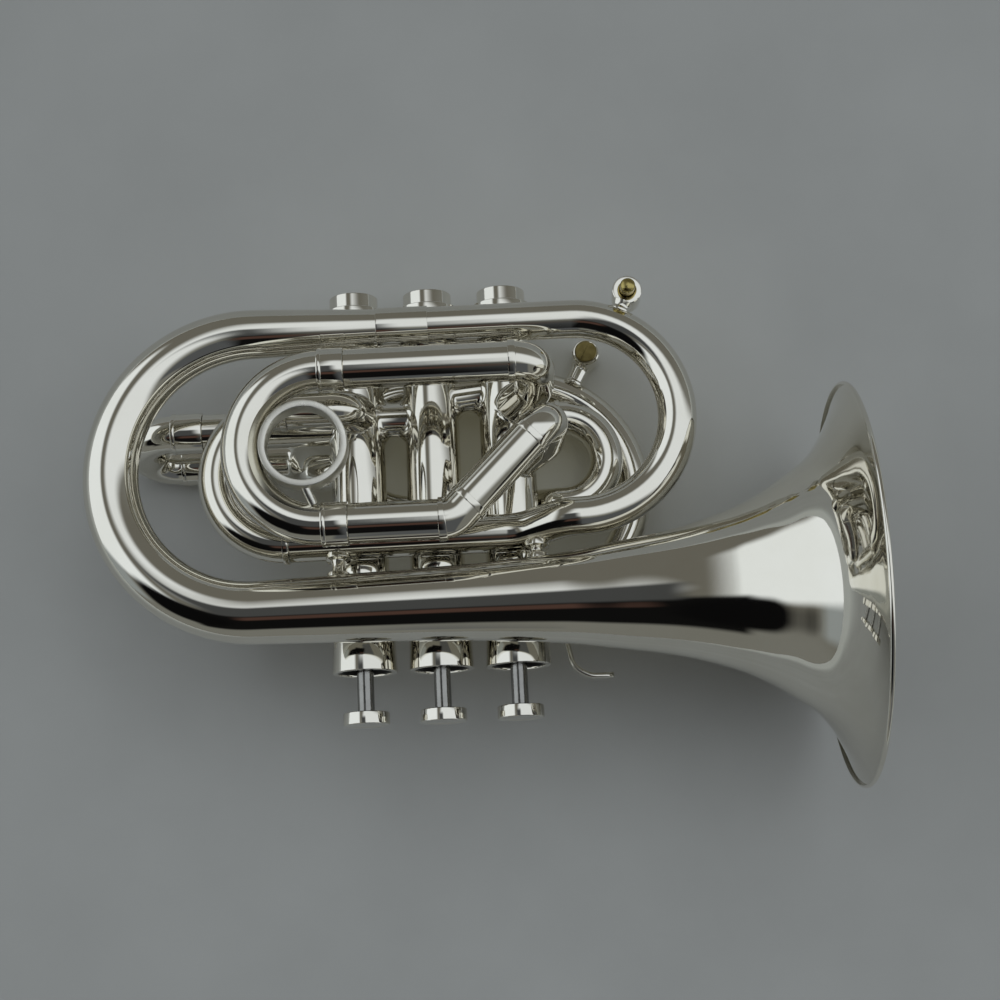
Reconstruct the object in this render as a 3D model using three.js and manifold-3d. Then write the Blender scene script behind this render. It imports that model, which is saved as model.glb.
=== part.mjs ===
// A pocket trumpet, built as an assembly of separate pieces. Lengths are in millimetres.
// In the instrument's own frame the three valves stand along Y in the plane z = 0 with valve 2 at x = 0.
// Their buttons point to -Y. The bell's axis is the line y = 0 at the height BELL_Z, and its mouth looks to +X.
// The finished group is turned at the end, so that it lies on a floor as it does when it is put down.

import * as THREE from "three";
import { mergeVertices } from "three/addons/utils/BufferGeometryUtils.js";
import Module from "manifold-3d";

// Clearances and walls that many pieces share
const JOINT_GAP = 0.3;
const TUBE_WALL = 0.55;
const BELL_WALL = 0.9;

// Tube sizes, as outer radii
const TUBE_RADIUS = 6.35;
const THIRD_TUBE_RADIUS = 6.5;
const SECOND_TUBE_RADIUS = 5.6;
const LEAD_TUBE_RADIUS = 5.85;
const SMALL_TUBE_RADIUS = 5.6;

// Rings and ferrules stand this much proud of their tube
const FERRULE_RISE = 0.55;
const BEAD_RISE = 1;
const BEAD_LENGTH = 1.5;
const FERRULE_LENGTH = 1.6;

// Valves
const VALVE_PITCH = 25.4;
const CASING_RADIUS = 9.3;
const CASING_WALL = 0.9;
const CASING_BOTTOM_Y = 105;
const PORT_RADIUS = 4.9;

// Top caps: a skirt over the casing, a floor that the stem goes through, and a recess with a felt
const TOP_CAP_FACE_Y = -18.2;
const TOP_CAP_FACE_RADIUS = 10.85;
const TOP_CAP_SKIRT_RADIUS = 10.3;
const TOP_CAP_SKIRT_Y = -5;
const TOP_CAP_EDGE = 0.5;
const TOP_CAP_RIM = 2.1;
const TOP_CAP_RECESS_DEPTH = 5;
const TOP_CAP_FLOOR = 2.5;
const STEM_HOLE_RADIUS = 3.5;
const FELT_THICKNESS = 1.9;

// Bottom caps: a skirt over the casing and a hollow nose with a small vent
const BOTTOM_CAP_FACE_Y = 111.9;
const BOTTOM_CAP_NOSE_RADIUS = 8.35;
const BOTTOM_CAP_NOSE_LENGTH = 5.2;
const BOTTOM_CAP_SKIRT_RADIUS = 10.5;
const BOTTOM_CAP_SKIRT_Y = 100.6;
const BOTTOM_CAP_WALL = 1.6;
const BOTTOM_CAP_EDGE = 0.5;
const BOTTOM_CAP_VENT_RADIUS = 2;

// Pistons, with the spring barrel on top of the part that holds the passages
const STROKE = 15.5;
const PISTON_TOP_Y = 36;
const PISTON_BOTTOM_Y = 88;
const PISTON_PLATE = 2.5;
const PISTON_BARREL_WALL = 1.2;
const PISTON_BARREL_RELIEF = 0.1;
const PASSAGE_RADIUS = 4.4;
const PASSAGE_SLANT = 3;
const PASSAGE_PITCH = 12.6;
const PASSAGE_Y = 68;

// Guides, which sit still in the spring barrel and carry the spring
const GUIDE_Y = 30.3;
const GUIDE_THICKNESS = 3;
const GUIDE_LUG_WIDTH = 3;
const GUIDE_LUG_GAP = 0.4;
const GUIDE_HOLE_RADIUS = 3;

// Springs
const SPRING_RADIUS = 5.6;
const SPRING_WIRE_RADIUS = 0.6;
const SPRING_TURNS = 6;
const SPRING_STEPS_A_TURN = 8;

// Stems and finger buttons
const STEM_RADIUS = 2.8;
const STEM_FOOT_RADIUS = 5;
const STEM_FOOT_LENGTH = 2.1;
const STEM_SPIGOT_LENGTH = 2;
const BUTTON_RADIUS = 7.75;
const BUTTON_THICKNESS = 4.2;
const BUTTON_FACE_Y = -35.4;
const BUTTON_EDGE = 0.6;
const BUTTON_SOCKET_DEPTH = 2.4;

// Bell: its rim, and the outer radius at distances behind the rim
const BELL_Z = 23;
const BELL_RIM_X = 133.1;
const BELL_BEAD_RADIUS = 1;
const BELL_OUTLINE = [
  [0, 64.2],
  [0.9, 61],
  [2, 57.8],
  [4, 53.4],
  [7, 48],
  [11.9, 41.5],
  [20.9, 35],
  [29, 30],
  [39, 25.5],
  [57, 20.3],
  [75, 17.2],
  [93, 14.6],
  [127, 12.2],
  [157, 11.2],
];
const TAIL_X = -58;
const TAIL_RADIUS = 46.8;
const TAIL_OUTLINE = [10.25, 9.6, 9, 8.6, 8.15];
const BELL_END_X = -16.1;
const BELL_NECK_LENGTH = 8;

// Main tube: from the bell's end over the top, round the right bow and back to the tuning slide
const BOW_X = 47.9;
const BOW_LOWER_Y = 26.6;
const BELL_FERRULE_END_X = 0.5;
const SWAN_RIGHT_X = 43;
const SWAN_LEFT_X = 28;
const SWAN_BEND = 20;

// Tuning slide
const TUNING_Z = 16.5;
const TUNING_LOWER_Y = 23.5;
const TUNING_UPPER_DROP = 25.1;
const TUNING_MOUTH_X = -47.3;
const TUNING_BOW_X = -48.4;
const TUNING_LEG_LENGTH = 14;
const TUNING_ELBOW_BEND = 8;

// Third slide
const THIRD_Z = 38;
const THIRD_UPPER_Y = 75.4;
const THIRD_LOWER_Y = 24.5;
const THIRD_MOUTH_X = -26.2;
const THIRD_FERRULE_LENGTH = 8.3;
const THIRD_BOW_X = -34.6;
const THIRD_LEG_LENGTH = 26;
const THIRD_UPPER_END_X = 26.8;
const THIRD_UPPER_CORNER_X = 35.2;
const THIRD_UPPER_BEND = 7;
const THIRD_UPPER_KNEE_Y = 71.5;
const THIRD_UPPER_KNEE_Z = 20;
const THIRD_UPPER_PORT_Y = 68.2;
const THIRD_LOWER_END_X = 2.4;
const THIRD_LOWER_CORNER_X = 6.7;
const THIRD_LOWER_BEND = 8;
const THIRD_DIAGONAL_RISE = 32.7;
const THIRD_DIAGONAL_START = 6.8;
const THIRD_DIAGONAL_END = 35.9;
const THIRD_DIAGONAL_BEND = 6.8;
const THIRD_KNEE_X = 37.4;
const THIRD_KNEE_Y = 53.2;
const THIRD_KNEE_Z = 18;
const THIRD_KNEE_BEND = 12;
const THIRD_LOWER_PORT_Y = 50;

// Finger ring on the third slide
const FINGER_RING_X = -39.4;
const FINGER_RING_Y = 49.2;
const FINGER_RING_Z = 39.5;
const FINGER_RING_WIDTH = 8;
const FINGER_RING_RADIUS = 14.1;
const FINGER_RING_WALL = 2.3;
const FINGER_STRUT_RADIUS = 1.5;
const FINGER_STRUT_X = -34.5;

// First slide
const FIRST_NEAR_Y = 66.8;
const FIRST_FAR_Y = 61.2;
const FIRST_FAR_Z = -22;
const FIRST_MOUTH_X = -77.6;
const FIRST_FERRULE_LENGTH = 10.4;
const FIRST_BOW_X = -88.6;
const FIRST_LEG_LENGTH = 24;
const FIRST_FAR_CORNER_X = -46;
const FIRST_KNEE_X = -40;
const FIRST_KNEE_Y = 52;
const FIRST_KNEE_Z = -4;
const FIRST_FAR_BEND = 8;
const FIRST_FAR_PORT_Y = 51;

// Second slide, straight out of the back of valve 2
const SECOND_Y = 60.4;
const SECOND_BEND = 6.6;
const SECOND_MOUTH_Z = -14.8;
const SECOND_BOW_Z = -16.2;
const SECOND_LEG_LENGTH = 4.9;
const SECOND_FERRULE_LENGTH = 1.1;

// Far side: rear loop, small crook, leadpipe with its bow, mouthpiece receiver
const FAR_Z = -16.5;
const FAR_UPPER_Y = 82.5;
const LOOP_LOWER_Y = 39.6;
const LOOP_X = -9;
const SMALL_CROOK_X = 43.7;
const SMALL_CROOK_Z = -7;
const SMALL_CROOK_UPPER_Y = 68.2;
const SMALL_CROOK_LOWER_Y = 37.6;
const SMALL_KNEE_X = 37;
const SMALL_KNEE_BEND = 8;
const SMALL_SWAN_RIGHT_X = 41;
const SMALL_SWAN_LEFT_X = 32;
const SMALL_SWAN_BEND = 6;
const SMALL_END_X = 28;
const SMALL_FERRULE_LENGTH = 6;
const LEAD_BOW_X = 29.3;
const LEAD_Y = 4.5;
const LEAD_START_X = -37.7;
const LEAD_NECK_LENGTH = 6;
const RECEIVER_START_X = -67.2;
const RECEIVER_MOUTH_RADIUS = 7.5;
const RECEIVER_END_RADIUS = 6.45;
const RECEIVER_RING_LENGTH = 4;
const RECEIVER_BORE_RADIUS = 5;
const RECEIVER_THROAT_RADIUS = 4.7;

// Pinky hook: a bent strip on the outside of the leadpipe's bow
const HOOK_PATH = [
  [40.5, 2.6],
  [42.6, -10.4],
  [44.3, -16.7],
  [48.9, -20],
  [57.7, -20.4],
];
const HOOK_THICKNESS = 2;
const HOOK_WIDTH = 7;

// Braces: a rod with a foot on each tube
const BRACE_ROD_RADIUS = 2;
const BRACE_FOOT_RADIUS = 4.2;
const BRACE_FOOT_THICKNESS = 0.9;
const BELL_BRACE_LEFT_X = -31.5;
const BELL_BRACE_RIGHT_BEHIND = 100.1;
const LEAD_BRACE_X = -50;

// Knuckles between the casings
const KNUCKLE_RADIUS = 6;
const KNUCKLE_LEFT_Y = 68;
const KNUCKLE_RIGHT_START_Y = 74;
const KNUCKLE_RIGHT_END_Y = 77;

// Water keys with a push plunger
const KEY_BORE_RADIUS = 3;
const KEY_PLUNGER_RADIUS = 2.7;
const KEY_TRAVEL = 2.5;
const KEY_DOME = 1.4;
const KEY_FLOOR = 2.5;
const KEY_NIPPLE_RADIUS = 3;
const KEY_EDGE = 0.6;
const KEY_1_ANGLE = 1.1362;
const KEY_1_REACH = 12.8;
const KEY_1_RADIUS = 4.9;
const KEY_1_FACE_Z = 25.5;
const KEY_1_BACK_Z = 15.5;
const KEY_1_PROUD = 4.2;
const KEY_2_ANGLE = 1.0974;
const KEY_2_REACH = 15.6;
const KEY_2_RADIUS = 4.7;
const KEY_2_FACE_Z = -10;
const KEY_2_BACK_Z = -19.4;
const KEY_2_PROUD = -1.5;
const KEY_SCREW_RADIUS = 3.8;
const KEY_SCREW_HEAD = 1.2;
const KEY_SCREW_SLOT_WIDTH = 0.9;
const KEY_SCREW_SLOT_DEPTH = 0.6;
const KEY_SCREW_SHANK_RADIUS = 2;
const KEY_SCREW_SHANK_LENGTH = 1.6;
const KEY_SCREW_SLOT_TURN = Math.PI / 3;

// How the trumpet lies: its turn about X and about Y, in radians
const REST_TURN_X = -0.2581;
const REST_TURN_Y = 0.0051;

// Fineness of round things
const TUBE_SIDES = 12;
const BORE_SIDES = 10;
const BELL_SIDES = 28;
const BEAD_SIDES = 6;
const TURNED_SIDES = 20;
const SMALL_SIDES = 12;
const WIRE_SIDES = 4;
const BEND_STEP_ANGLE = Math.PI / 8;
const WHOLE_STEP_SHARE = 0.01;
const TAIL_STEPS = 10;
const GRAIN = 0.01;

const wasm = await Module();
wasm.setup();

const X_AXIS = new THREE.Vector3(1, 0, 0);
const Y_AXIS = new THREE.Vector3(0, 1, 0);
const Z_AXIS = new THREE.Vector3(0, 0, 1);
const point = (x, y, z) => new THREE.Vector3(x, y, z);
const along = (from, direction, distance) => from.clone().addScaledVector(direction, distance);
const boreOf = (radius) => radius - TUBE_WALL;
const legOf = (radius) => boreOf(radius) - JOINT_GAP;

// The solid that a geometry encloses.
function solid(geometry) {
  const bare = geometry.clone();
  bare.deleteAttribute("normal");
  bare.deleteAttribute("uv");
  const merged = mergeVertices(bare);
  return new wasm.Manifold(
    new wasm.Mesh({
      numProp: 3,
      vertProperties: new Float32Array(merged.attributes.position.array),
      triVerts: new Uint32Array(merged.index.array),
    }),
  );
}

const join = (...solids) => solids.reduce((whole, next) => whole.add(next));
const cut = (whole, ...tools) => tools.reduce((rest, tool) => rest.subtract(tool), whole);

// An outline of [radius, height] turned about a line from the origin point in the given direction.
// An outline off the axis is closed on itself.
function turned(outline, origin, direction, sides = TURNED_SIDES) {
  const places = outline.map(([r, h]) => new THREE.Vector2(r, h));
  if (THREE.ShapeUtils.isClockWise(places)) places.reverse();
  if (places.every(({ x }) => x > 0)) places.push(places[0]);
  while (places[0].x === 0 && places.at(-1).x !== 0) places.push(places.shift());
  const geometry = new THREE.LatheGeometry(places, sides);
  geometry.applyQuaternion(new THREE.Quaternion().setFromUnitVectors(Y_AXIS, direction));
  geometry.translate(origin.x, origin.y, origin.z);
  return solid(geometry);
}

function circle(radius, sides) {
  return Array.from({ length: sides }, (_, i) => {
    const angle = (2 * Math.PI * i) / sides;
    return new THREE.Vector2(radius * Math.cos(angle), radius * Math.sin(angle));
  });
}

// The stations of a path of straight runs and round bends. A corner is [point, bend radius].
function route(corners) {
  const stations = [];
  const add = (where, direction) => {
    const before = stations.at(-1);
    if (!before || before.where.distanceTo(where) > GRAIN) stations.push({ where, direction });
  };
  corners.forEach(([corner, bend], i) => {
    const previous = corners[i - 1]?.[0];
    const next = corners[i + 1]?.[0];
    const go = next?.clone().sub(corner).normalize();
    const come = previous ? corner.clone().sub(previous).normalize() : go;
    if (!previous || !next) {
      add(corner, come);
      return;
    }
    const turn = come.angleTo(go);
    const inward = go.clone().addScaledVector(come, -Math.cos(turn)).normalize();
    const start = along(corner, come, -bend * Math.tan(turn / 2));
    const steps = Math.ceil(turn / BEND_STEP_ANGLE - WHOLE_STEP_SHARE);
    for (let k = 0; k <= steps; k++) {
      const angle = (turn * k) / steps;
      const where = along(along(start, come, bend * Math.sin(angle)), inward, bend * (1 - Math.cos(angle)));
      const direction = come.clone().multiplyScalar(Math.cos(angle)).addScaledVector(inward, Math.sin(angle));
      add(where, direction);
    }
  });
  return stations;
}

// A curve that is read only at its stations, so that a straight run costs one step.
class StationPath extends THREE.Curve {
  constructor(stations) {
    super();
    this.stations = stations;
  }
  station(share) {
    return this.stations[Math.round(share * (this.stations.length - 1))];
  }
  getPointAt(share) {
    return this.station(share).where.clone();
  }
  getTangentAt(share) {
    return this.station(share).direction.clone();
  }
}

// A tube along the corners of a path. Without an inner radius it is a solid bar.
function tube(corners, outer, inner = 0, sides = TUBE_SIDES) {
  const stations = route(corners.map((corner) => (Array.isArray(corner) ? corner : [corner, 0])));
  const shape = new THREE.Shape(circle(outer, sides));
  if (inner) shape.holes.push(new THREE.Path(circle(inner, BORE_SIDES)));
  const geometry = new THREE.ExtrudeGeometry(shape, {
    steps: stations.length - 1,
    bevelEnabled: false,
    extrudePath: new StationPath(stations),
  });
  return solid(geometry);
}

// The room that a tube of this radius takes up, with a gap all round that its flat sides don't eat up.
const roomFor = (path, radius) => tube(path, (radius + JOINT_GAP) / Math.cos(Math.PI / TUBE_SIDES));

// A ring round a tube, from one point to another.
const band = (from, to, tubeRadius, rise = FERRULE_RISE) => tube([from, to], tubeRadius + rise, boreOf(tubeRadius));

// A U-shaped crook between two mouths, with its ferrules and the two legs that run in the sleeves.
// The bow starts at the distance `run` from the mouths in the direction of the pull.
function slideCrook({ mouths, pull, run, radius, ferrule, legs, bead }) {
  const bend = mouths[0].distanceTo(mouths[1]) / 2;
  const ends = mouths.map((mouth) => along(mouth, pull, ferrule / 2));
  const outs = mouths.map((mouth) => along(mouth, pull, run + bend));
  const leg = legOf(radius);
  const parts = [tube([ends[0], [outs[0], bend], [outs[1], bend], ends[1]], radius, boreOf(radius))];
  mouths.forEach((mouth) => {
    const ferruleEnd = along(mouth, pull, ferrule);
    parts.push(tube([mouth, ferruleEnd], radius + FERRULE_RISE, leg - TUBE_WALL / 2));
    if (bead) parts.push(band(along(ferruleEnd, pull, -BEAD_LENGTH), ferruleEnd, radius, BEAD_RISE));
    parts.push(tube([along(mouth, pull, ferrule / 2), along(mouth, pull, -legs)], leg, leg - TUBE_WALL));
  });
  return join(...parts);
}

// A loft through rings that all stand square to one plane; its last ring joins its first.
function ringLoft(rings, sides) {
  const positions = [];
  rings.forEach(({ where, direction, radius }) => {
    const sideways = direction.clone().cross(Z_AXIS);
    circle(radius, sides).forEach(({ x, y }) => {
      positions.push(...along(along(where, Z_AXIS, x), sideways, y).toArray());
    });
  });
  const indices = [];
  rings.forEach((_, i) => {
    const here = i * sides;
    const there = ((i + 1) % rings.length) * sides;
    for (let k = 0; k < sides; k++) {
      const next = (k + 1) % sides;
      indices.push(here + k, there + next, there + k, here + k, here + next, there + next);
    }
  });
  const geometry = new THREE.BufferGeometry();
  geometry.setAttribute("position", new THREE.Float32BufferAttribute(positions, 3));
  geometry.setIndex(indices);
  return solid(geometry);
}

const silver = { color: 0xc9cbc8, roughness: 0.1, metalness: 1 };
const brass = { color: 0xb38f45, roughness: 0.25, metalness: 1 };
const felt = { color: 0xd9d4c6, roughness: 0.95, metalness: 0 };
const steel = { color: 0x8d8f90, roughness: 0.35, metalness: 1 };

const trumpet = new THREE.Group();

// Adds a solid to the trumpet as a named mesh of its own material.
function add(name, made, look = silver) {
  const { vertProperties, triVerts } = made.getMesh();
  const geometry = new THREE.BufferGeometry();
  geometry.setAttribute("position", new THREE.BufferAttribute(vertProperties, 3));
  geometry.setIndex(new THREE.BufferAttribute(triVerts, 1));
  const mesh = new THREE.Mesh(geometry, new THREE.MeshStandardMaterial({ ...look, flatShading: true }));
  mesh.name = name;
  trumpet.add(mesh);
}

// Bell

function bellRings() {
  const outer = [];
  const inner = [];
  const ring = (where, direction, radius) => ({ where, direction, radius });
  const topY = 2 * TAIL_RADIUS;
  const endRadius = TUBE_RADIUS;
  const neckRadius = legOf(TUBE_RADIUS);
  const neckBore = neckRadius - TUBE_WALL;
  const leftward = X_AXIS.clone().negate();
  const atEnd = (x) => point(x, topY, BELL_Z);
  outer.push(ring(atEnd(BELL_END_X + BELL_NECK_LENGTH), leftward, neckRadius));
  outer.push(ring(atEnd(BELL_END_X), leftward, neckRadius));
  outer.push(ring(atEnd(BELL_END_X), leftward, endRadius));
  inner.push(ring(atEnd(BELL_END_X + BELL_NECK_LENGTH), leftward, neckBore));
  inner.push(ring(atEnd(BELL_END_X), leftward, neckBore));
  const taper = new THREE.CatmullRomCurve3(
    TAIL_OUTLINE.map((radius, i) => point(i / (TAIL_OUTLINE.length - 1), radius, 0)),
  );
  for (let k = 0; k <= TAIL_STEPS; k++) {
    const angle = Math.PI / 2 + (Math.PI * k) / TAIL_STEPS;
    const out = point(Math.cos(angle), Math.sin(angle), 0);
    const where = along(point(TAIL_X, TAIL_RADIUS, BELL_Z), out, TAIL_RADIUS);
    const radius = taper.getPoint(1 - k / TAIL_STEPS).y;
    const direction = Z_AXIS.clone().cross(out);
    outer.push(ring(where, direction, radius));
    inner.push(ring(where, direction, radius - TUBE_WALL));
  }
  const stem = BELL_OUTLINE.slice().reverse();
  stem.forEach(([behind, radius], i) => {
    const x = BELL_RIM_X - behind;
    outer.push(ring(point(x, 0, BELL_Z), X_AXIS, radius));
    const [aheadBehind, aheadRadius] = stem[Math.min(i + 1, stem.length - 1)];
    const [backBehind, backRadius] = stem[Math.max(i - 1, 0)];
    const slope = new THREE.Vector2(backBehind - aheadBehind, aheadRadius - backRadius).normalize();
    inner.push(ring(point(x + BELL_WALL * slope.y, 0, BELL_Z), X_AXIS, radius - BELL_WALL * slope.x));
  });
  return { outer, inner };
}

const { outer: bellOuter, inner: bellInner } = bellRings();
const bellSkin = ringLoft([...bellOuter, ...bellInner.reverse()], BELL_SIDES);
const rimRadius = BELL_OUTLINE[0][1];
const rimBead = turned(
  circle(BELL_BEAD_RADIUS, BEAD_SIDES).map(({ x, y }) => [rimRadius + x, y]),
  point(BELL_RIM_X, 0, BELL_Z),
  X_AXIS,
  BELL_SIDES,
);
add("bell", join(bellSkin, rimBead));

// Main tube, with the ferrule that takes the bell's end

const topLegY = 2 * TAIL_RADIUS;
const bowBend = (topLegY - BOW_LOWER_Y) / 2;
const mainStart = point(BELL_END_X + JOINT_GAP, topLegY, BELL_Z);
const tuningLowerMouth = point(TUNING_MOUTH_X, TUNING_LOWER_Y, TUNING_Z);
const mainPath = [
  mainStart,
  [point(BOW_X + bowBend, topLegY, BELL_Z), bowBend],
  [point(BOW_X + bowBend, BOW_LOWER_Y, BELL_Z), bowBend],
  [point(SWAN_RIGHT_X, BOW_LOWER_Y, BELL_Z), SWAN_BEND],
  [point(SWAN_LEFT_X, TUNING_LOWER_Y, TUNING_Z), SWAN_BEND],
  tuningLowerMouth,
];
const bellFerrule = band(mainStart, point(BELL_FERRULE_END_X, topLegY, BELL_Z), TUBE_RADIUS);
add("main_tube", join(tube(mainPath, TUBE_RADIUS, boreOf(TUBE_RADIUS)), bellFerrule));

// Casings and the tubes that end in them

const valveX = [-VALVE_PITCH, 0, VALVE_PITCH];
const capUndersideY = TOP_CAP_FACE_Y + TOP_CAP_RECESS_DEPTH + TOP_CAP_FLOOR;
const casingTopY = capUndersideY + JOINT_GAP;
const casingRoom = valveX.map((x) =>
  tube([point(x, casingTopY, 0), point(x, CASING_BOTTOM_Y, 0)], CASING_RADIUS + JOINT_GAP, 0, TURNED_SIDES),
);
const casings = valveX.map((x) =>
  turned(
    [
      [CASING_RADIUS, casingTopY],
      [CASING_RADIUS, CASING_BOTTOM_Y],
      [CASING_RADIUS - CASING_WALL, CASING_BOTTOM_Y],
      [CASING_RADIUS - CASING_WALL, casingTopY],
    ],
    point(x, 0, 0),
    Y_AXIS,
  ),
);

// Cuts the port of a tube that comes from one point to the axis of a casing.
function port(valve, from, to) {
  casings[valve] = cut(casings[valve], tube([from, to], PORT_RADIUS, 0, SMALL_SIDES));
}

// A tube whose path ends on the axis of a casing, trimmed to the casing's outside.
function tubeInto(valve, path, radius) {
  const ends = path.slice(-2).map((corner) => (Array.isArray(corner) ? corner[0] : corner));
  port(valve, ends[0], ends[1]);
  return cut(tube(path, radius, boreOf(radius)), casingRoom[valve]);
}

// Tuning slide

const tuningUpperY = topLegY - TUNING_UPPER_DROP;
const tuningUpperMouth = point(TUNING_MOUTH_X, tuningUpperY, TUNING_Z);
add(
  "tuning_upper_sleeve",
  tubeInto(
    0,
    [
      tuningUpperMouth,
      [point(valveX[0], tuningUpperY, TUNING_Z), TUNING_ELBOW_BEND],
      point(valveX[0], tuningUpperY, 0),
    ],
    TUBE_RADIUS,
  ),
);
const pullLeft = X_AXIS.clone().negate();
add(
  "tuning_slide_crook",
  slideCrook({
    mouths: [tuningLowerMouth, tuningUpperMouth].map((mouth) => along(mouth, pullLeft, JOINT_GAP)),
    pull: pullLeft,
    run: TUNING_MOUTH_X - JOINT_GAP - TUNING_BOW_X,
    radius: TUBE_RADIUS,
    ferrule: FERRULE_LENGTH + JOINT_GAP,
    legs: TUNING_LEG_LENGTH,
  }),
);

// Third slide

const thirdUpperMouth = point(THIRD_MOUTH_X, THIRD_UPPER_Y, THIRD_Z);
const thirdLowerMouth = point(THIRD_MOUTH_X, THIRD_LOWER_Y, THIRD_Z);
const thirdUpperEnd = point(THIRD_UPPER_END_X, THIRD_UPPER_Y, THIRD_Z);
const thirdLowerEnd = point(THIRD_LOWER_END_X, THIRD_LOWER_Y, THIRD_Z);
const thirdBore = boreOf(THIRD_TUBE_RADIUS);
add("third_upper_sleeve", tube([thirdUpperMouth, thirdUpperEnd], THIRD_TUBE_RADIUS, thirdBore));
const thirdElbowStart = along(thirdUpperEnd, X_AXIS, JOINT_GAP);
add(
  "third_upper_elbow",
  join(
    tubeInto(
      2,
      [
        thirdElbowStart,
        [point(THIRD_UPPER_CORNER_X, THIRD_UPPER_Y, THIRD_Z), THIRD_UPPER_BEND],
        [point(THIRD_UPPER_CORNER_X, THIRD_UPPER_KNEE_Y, THIRD_UPPER_KNEE_Z), THIRD_KNEE_BEND],
        point(valveX[2], THIRD_UPPER_PORT_Y, 0),
      ],
      THIRD_TUBE_RADIUS,
    ),
    band(thirdElbowStart, along(thirdElbowStart, X_AXIS, FERRULE_LENGTH), THIRD_TUBE_RADIUS),
  ),
);
add("third_lower_sleeve", tube([thirdLowerMouth, thirdLowerEnd], THIRD_TUBE_RADIUS, thirdBore));
const thirdLowerCorner = point(THIRD_LOWER_CORNER_X, THIRD_LOWER_Y, THIRD_Z);
const slant = point(THIRD_DIAGONAL_RISE, THIRD_DIAGONAL_RISE, 0).normalize();
const onSlant = (distance) => along(thirdLowerCorner, slant, distance);
const lowerElbowStart = along(thirdLowerEnd, X_AXIS, JOINT_GAP);
add(
  "third_lower_elbow",
  join(
    tube(
      [lowerElbowStart, [thirdLowerCorner, THIRD_LOWER_BEND], onSlant(THIRD_DIAGONAL_START - JOINT_GAP)],
      THIRD_TUBE_RADIUS,
      thirdBore,
    ),
    band(lowerElbowStart, along(lowerElbowStart, X_AXIS, FERRULE_LENGTH), THIRD_TUBE_RADIUS),
  ),
);
add(
  "third_diagonal_tube",
  join(
    tube([onSlant(THIRD_DIAGONAL_START), onSlant(THIRD_DIAGONAL_END)], THIRD_TUBE_RADIUS, thirdBore),
    band(onSlant(THIRD_DIAGONAL_START), onSlant(THIRD_DIAGONAL_START + FERRULE_LENGTH), THIRD_TUBE_RADIUS),
  ),
);
const diagonalElbowStart = THIRD_DIAGONAL_END + JOINT_GAP;
add(
  "third_diagonal_elbow",
  join(
    tubeInto(
      2,
      [
        onSlant(diagonalElbowStart),
        [along(thirdLowerCorner, point(1, 1, 0), THIRD_DIAGONAL_RISE), THIRD_DIAGONAL_BEND],
        [point(THIRD_KNEE_X, THIRD_KNEE_Y, THIRD_KNEE_Z), THIRD_KNEE_BEND],
        point(valveX[2], THIRD_LOWER_PORT_Y, 0),
      ],
      THIRD_TUBE_RADIUS,
    ),
    band(onSlant(diagonalElbowStart), onSlant(diagonalElbowStart + FERRULE_LENGTH), THIRD_TUBE_RADIUS),
  ),
);
const thirdCrook = slideCrook({
  mouths: [thirdLowerMouth, thirdUpperMouth].map((mouth) => along(mouth, pullLeft, JOINT_GAP)),
  pull: pullLeft,
  run: THIRD_MOUTH_X - JOINT_GAP - THIRD_BOW_X,
  radius: THIRD_TUBE_RADIUS,
  ferrule: THIRD_FERRULE_LENGTH,
  legs: THIRD_LEG_LENGTH,
  bead: true,
});
add("third_slide_crook", thirdCrook);

const ringCentre = point(FINGER_RING_X, FINGER_RING_Y, FINGER_RING_Z);
const fingerRing = turned(
  [
    [FINGER_RING_RADIUS, 0],
    [FINGER_RING_RADIUS, FINGER_RING_WIDTH],
    [FINGER_RING_RADIUS - FINGER_RING_WALL, FINGER_RING_WIDTH],
    [FINGER_RING_RADIUS - FINGER_RING_WALL, 0],
  ],
  ringCentre,
  Z_AXIS,
);
const strutTop = point(
  FINGER_RING_X,
  FINGER_RING_Y - FINGER_RING_RADIUS + FINGER_RING_WALL / 2,
  FINGER_RING_Z + FINGER_RING_WIDTH / 2,
);
const strutFoot = point(FINGER_STRUT_X, THIRD_LOWER_Y, THIRD_Z);
const strut = cut(
  tube([strutTop, strutFoot], FINGER_STRUT_RADIUS, 0, SMALL_SIDES),
  roomFor(
    [thirdLowerMouth, along(thirdLowerMouth, pullLeft, 2 * THIRD_FERRULE_LENGTH)],
    THIRD_TUBE_RADIUS + BEAD_RISE,
  ),
);
add("finger_ring", join(fingerRing, strut));

// First slide

const firstNearMouth = point(FIRST_MOUTH_X, FIRST_NEAR_Y, 0);
const firstFarMouth = point(FIRST_MOUTH_X, FIRST_FAR_Y, FIRST_FAR_Z);
add("first_near_sleeve", tubeInto(0, [firstNearMouth, point(valveX[0], FIRST_NEAR_Y, 0)], TUBE_RADIUS));
add(
  "first_far_sleeve",
  tubeInto(
    0,
    [
      firstFarMouth,
      [point(FIRST_FAR_CORNER_X, FIRST_FAR_Y, FIRST_FAR_Z), FIRST_FAR_BEND],
      [point(FIRST_KNEE_X, FIRST_KNEE_Y, FIRST_KNEE_Z), FIRST_FAR_BEND],
      point(valveX[0], FIRST_FAR_PORT_Y, 0),
    ],
    TUBE_RADIUS,
  ),
);
add(
  "first_slide_crook",
  slideCrook({
    mouths: [firstNearMouth, firstFarMouth].map((mouth) => along(mouth, pullLeft, JOINT_GAP)),
    pull: pullLeft,
    run: FIRST_MOUTH_X - JOINT_GAP - FIRST_BOW_X,
    radius: TUBE_RADIUS,
    ferrule: FIRST_FERRULE_LENGTH,
    legs: FIRST_LEG_LENGTH,
    bead: true,
  }),
);

// Second slide

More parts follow.
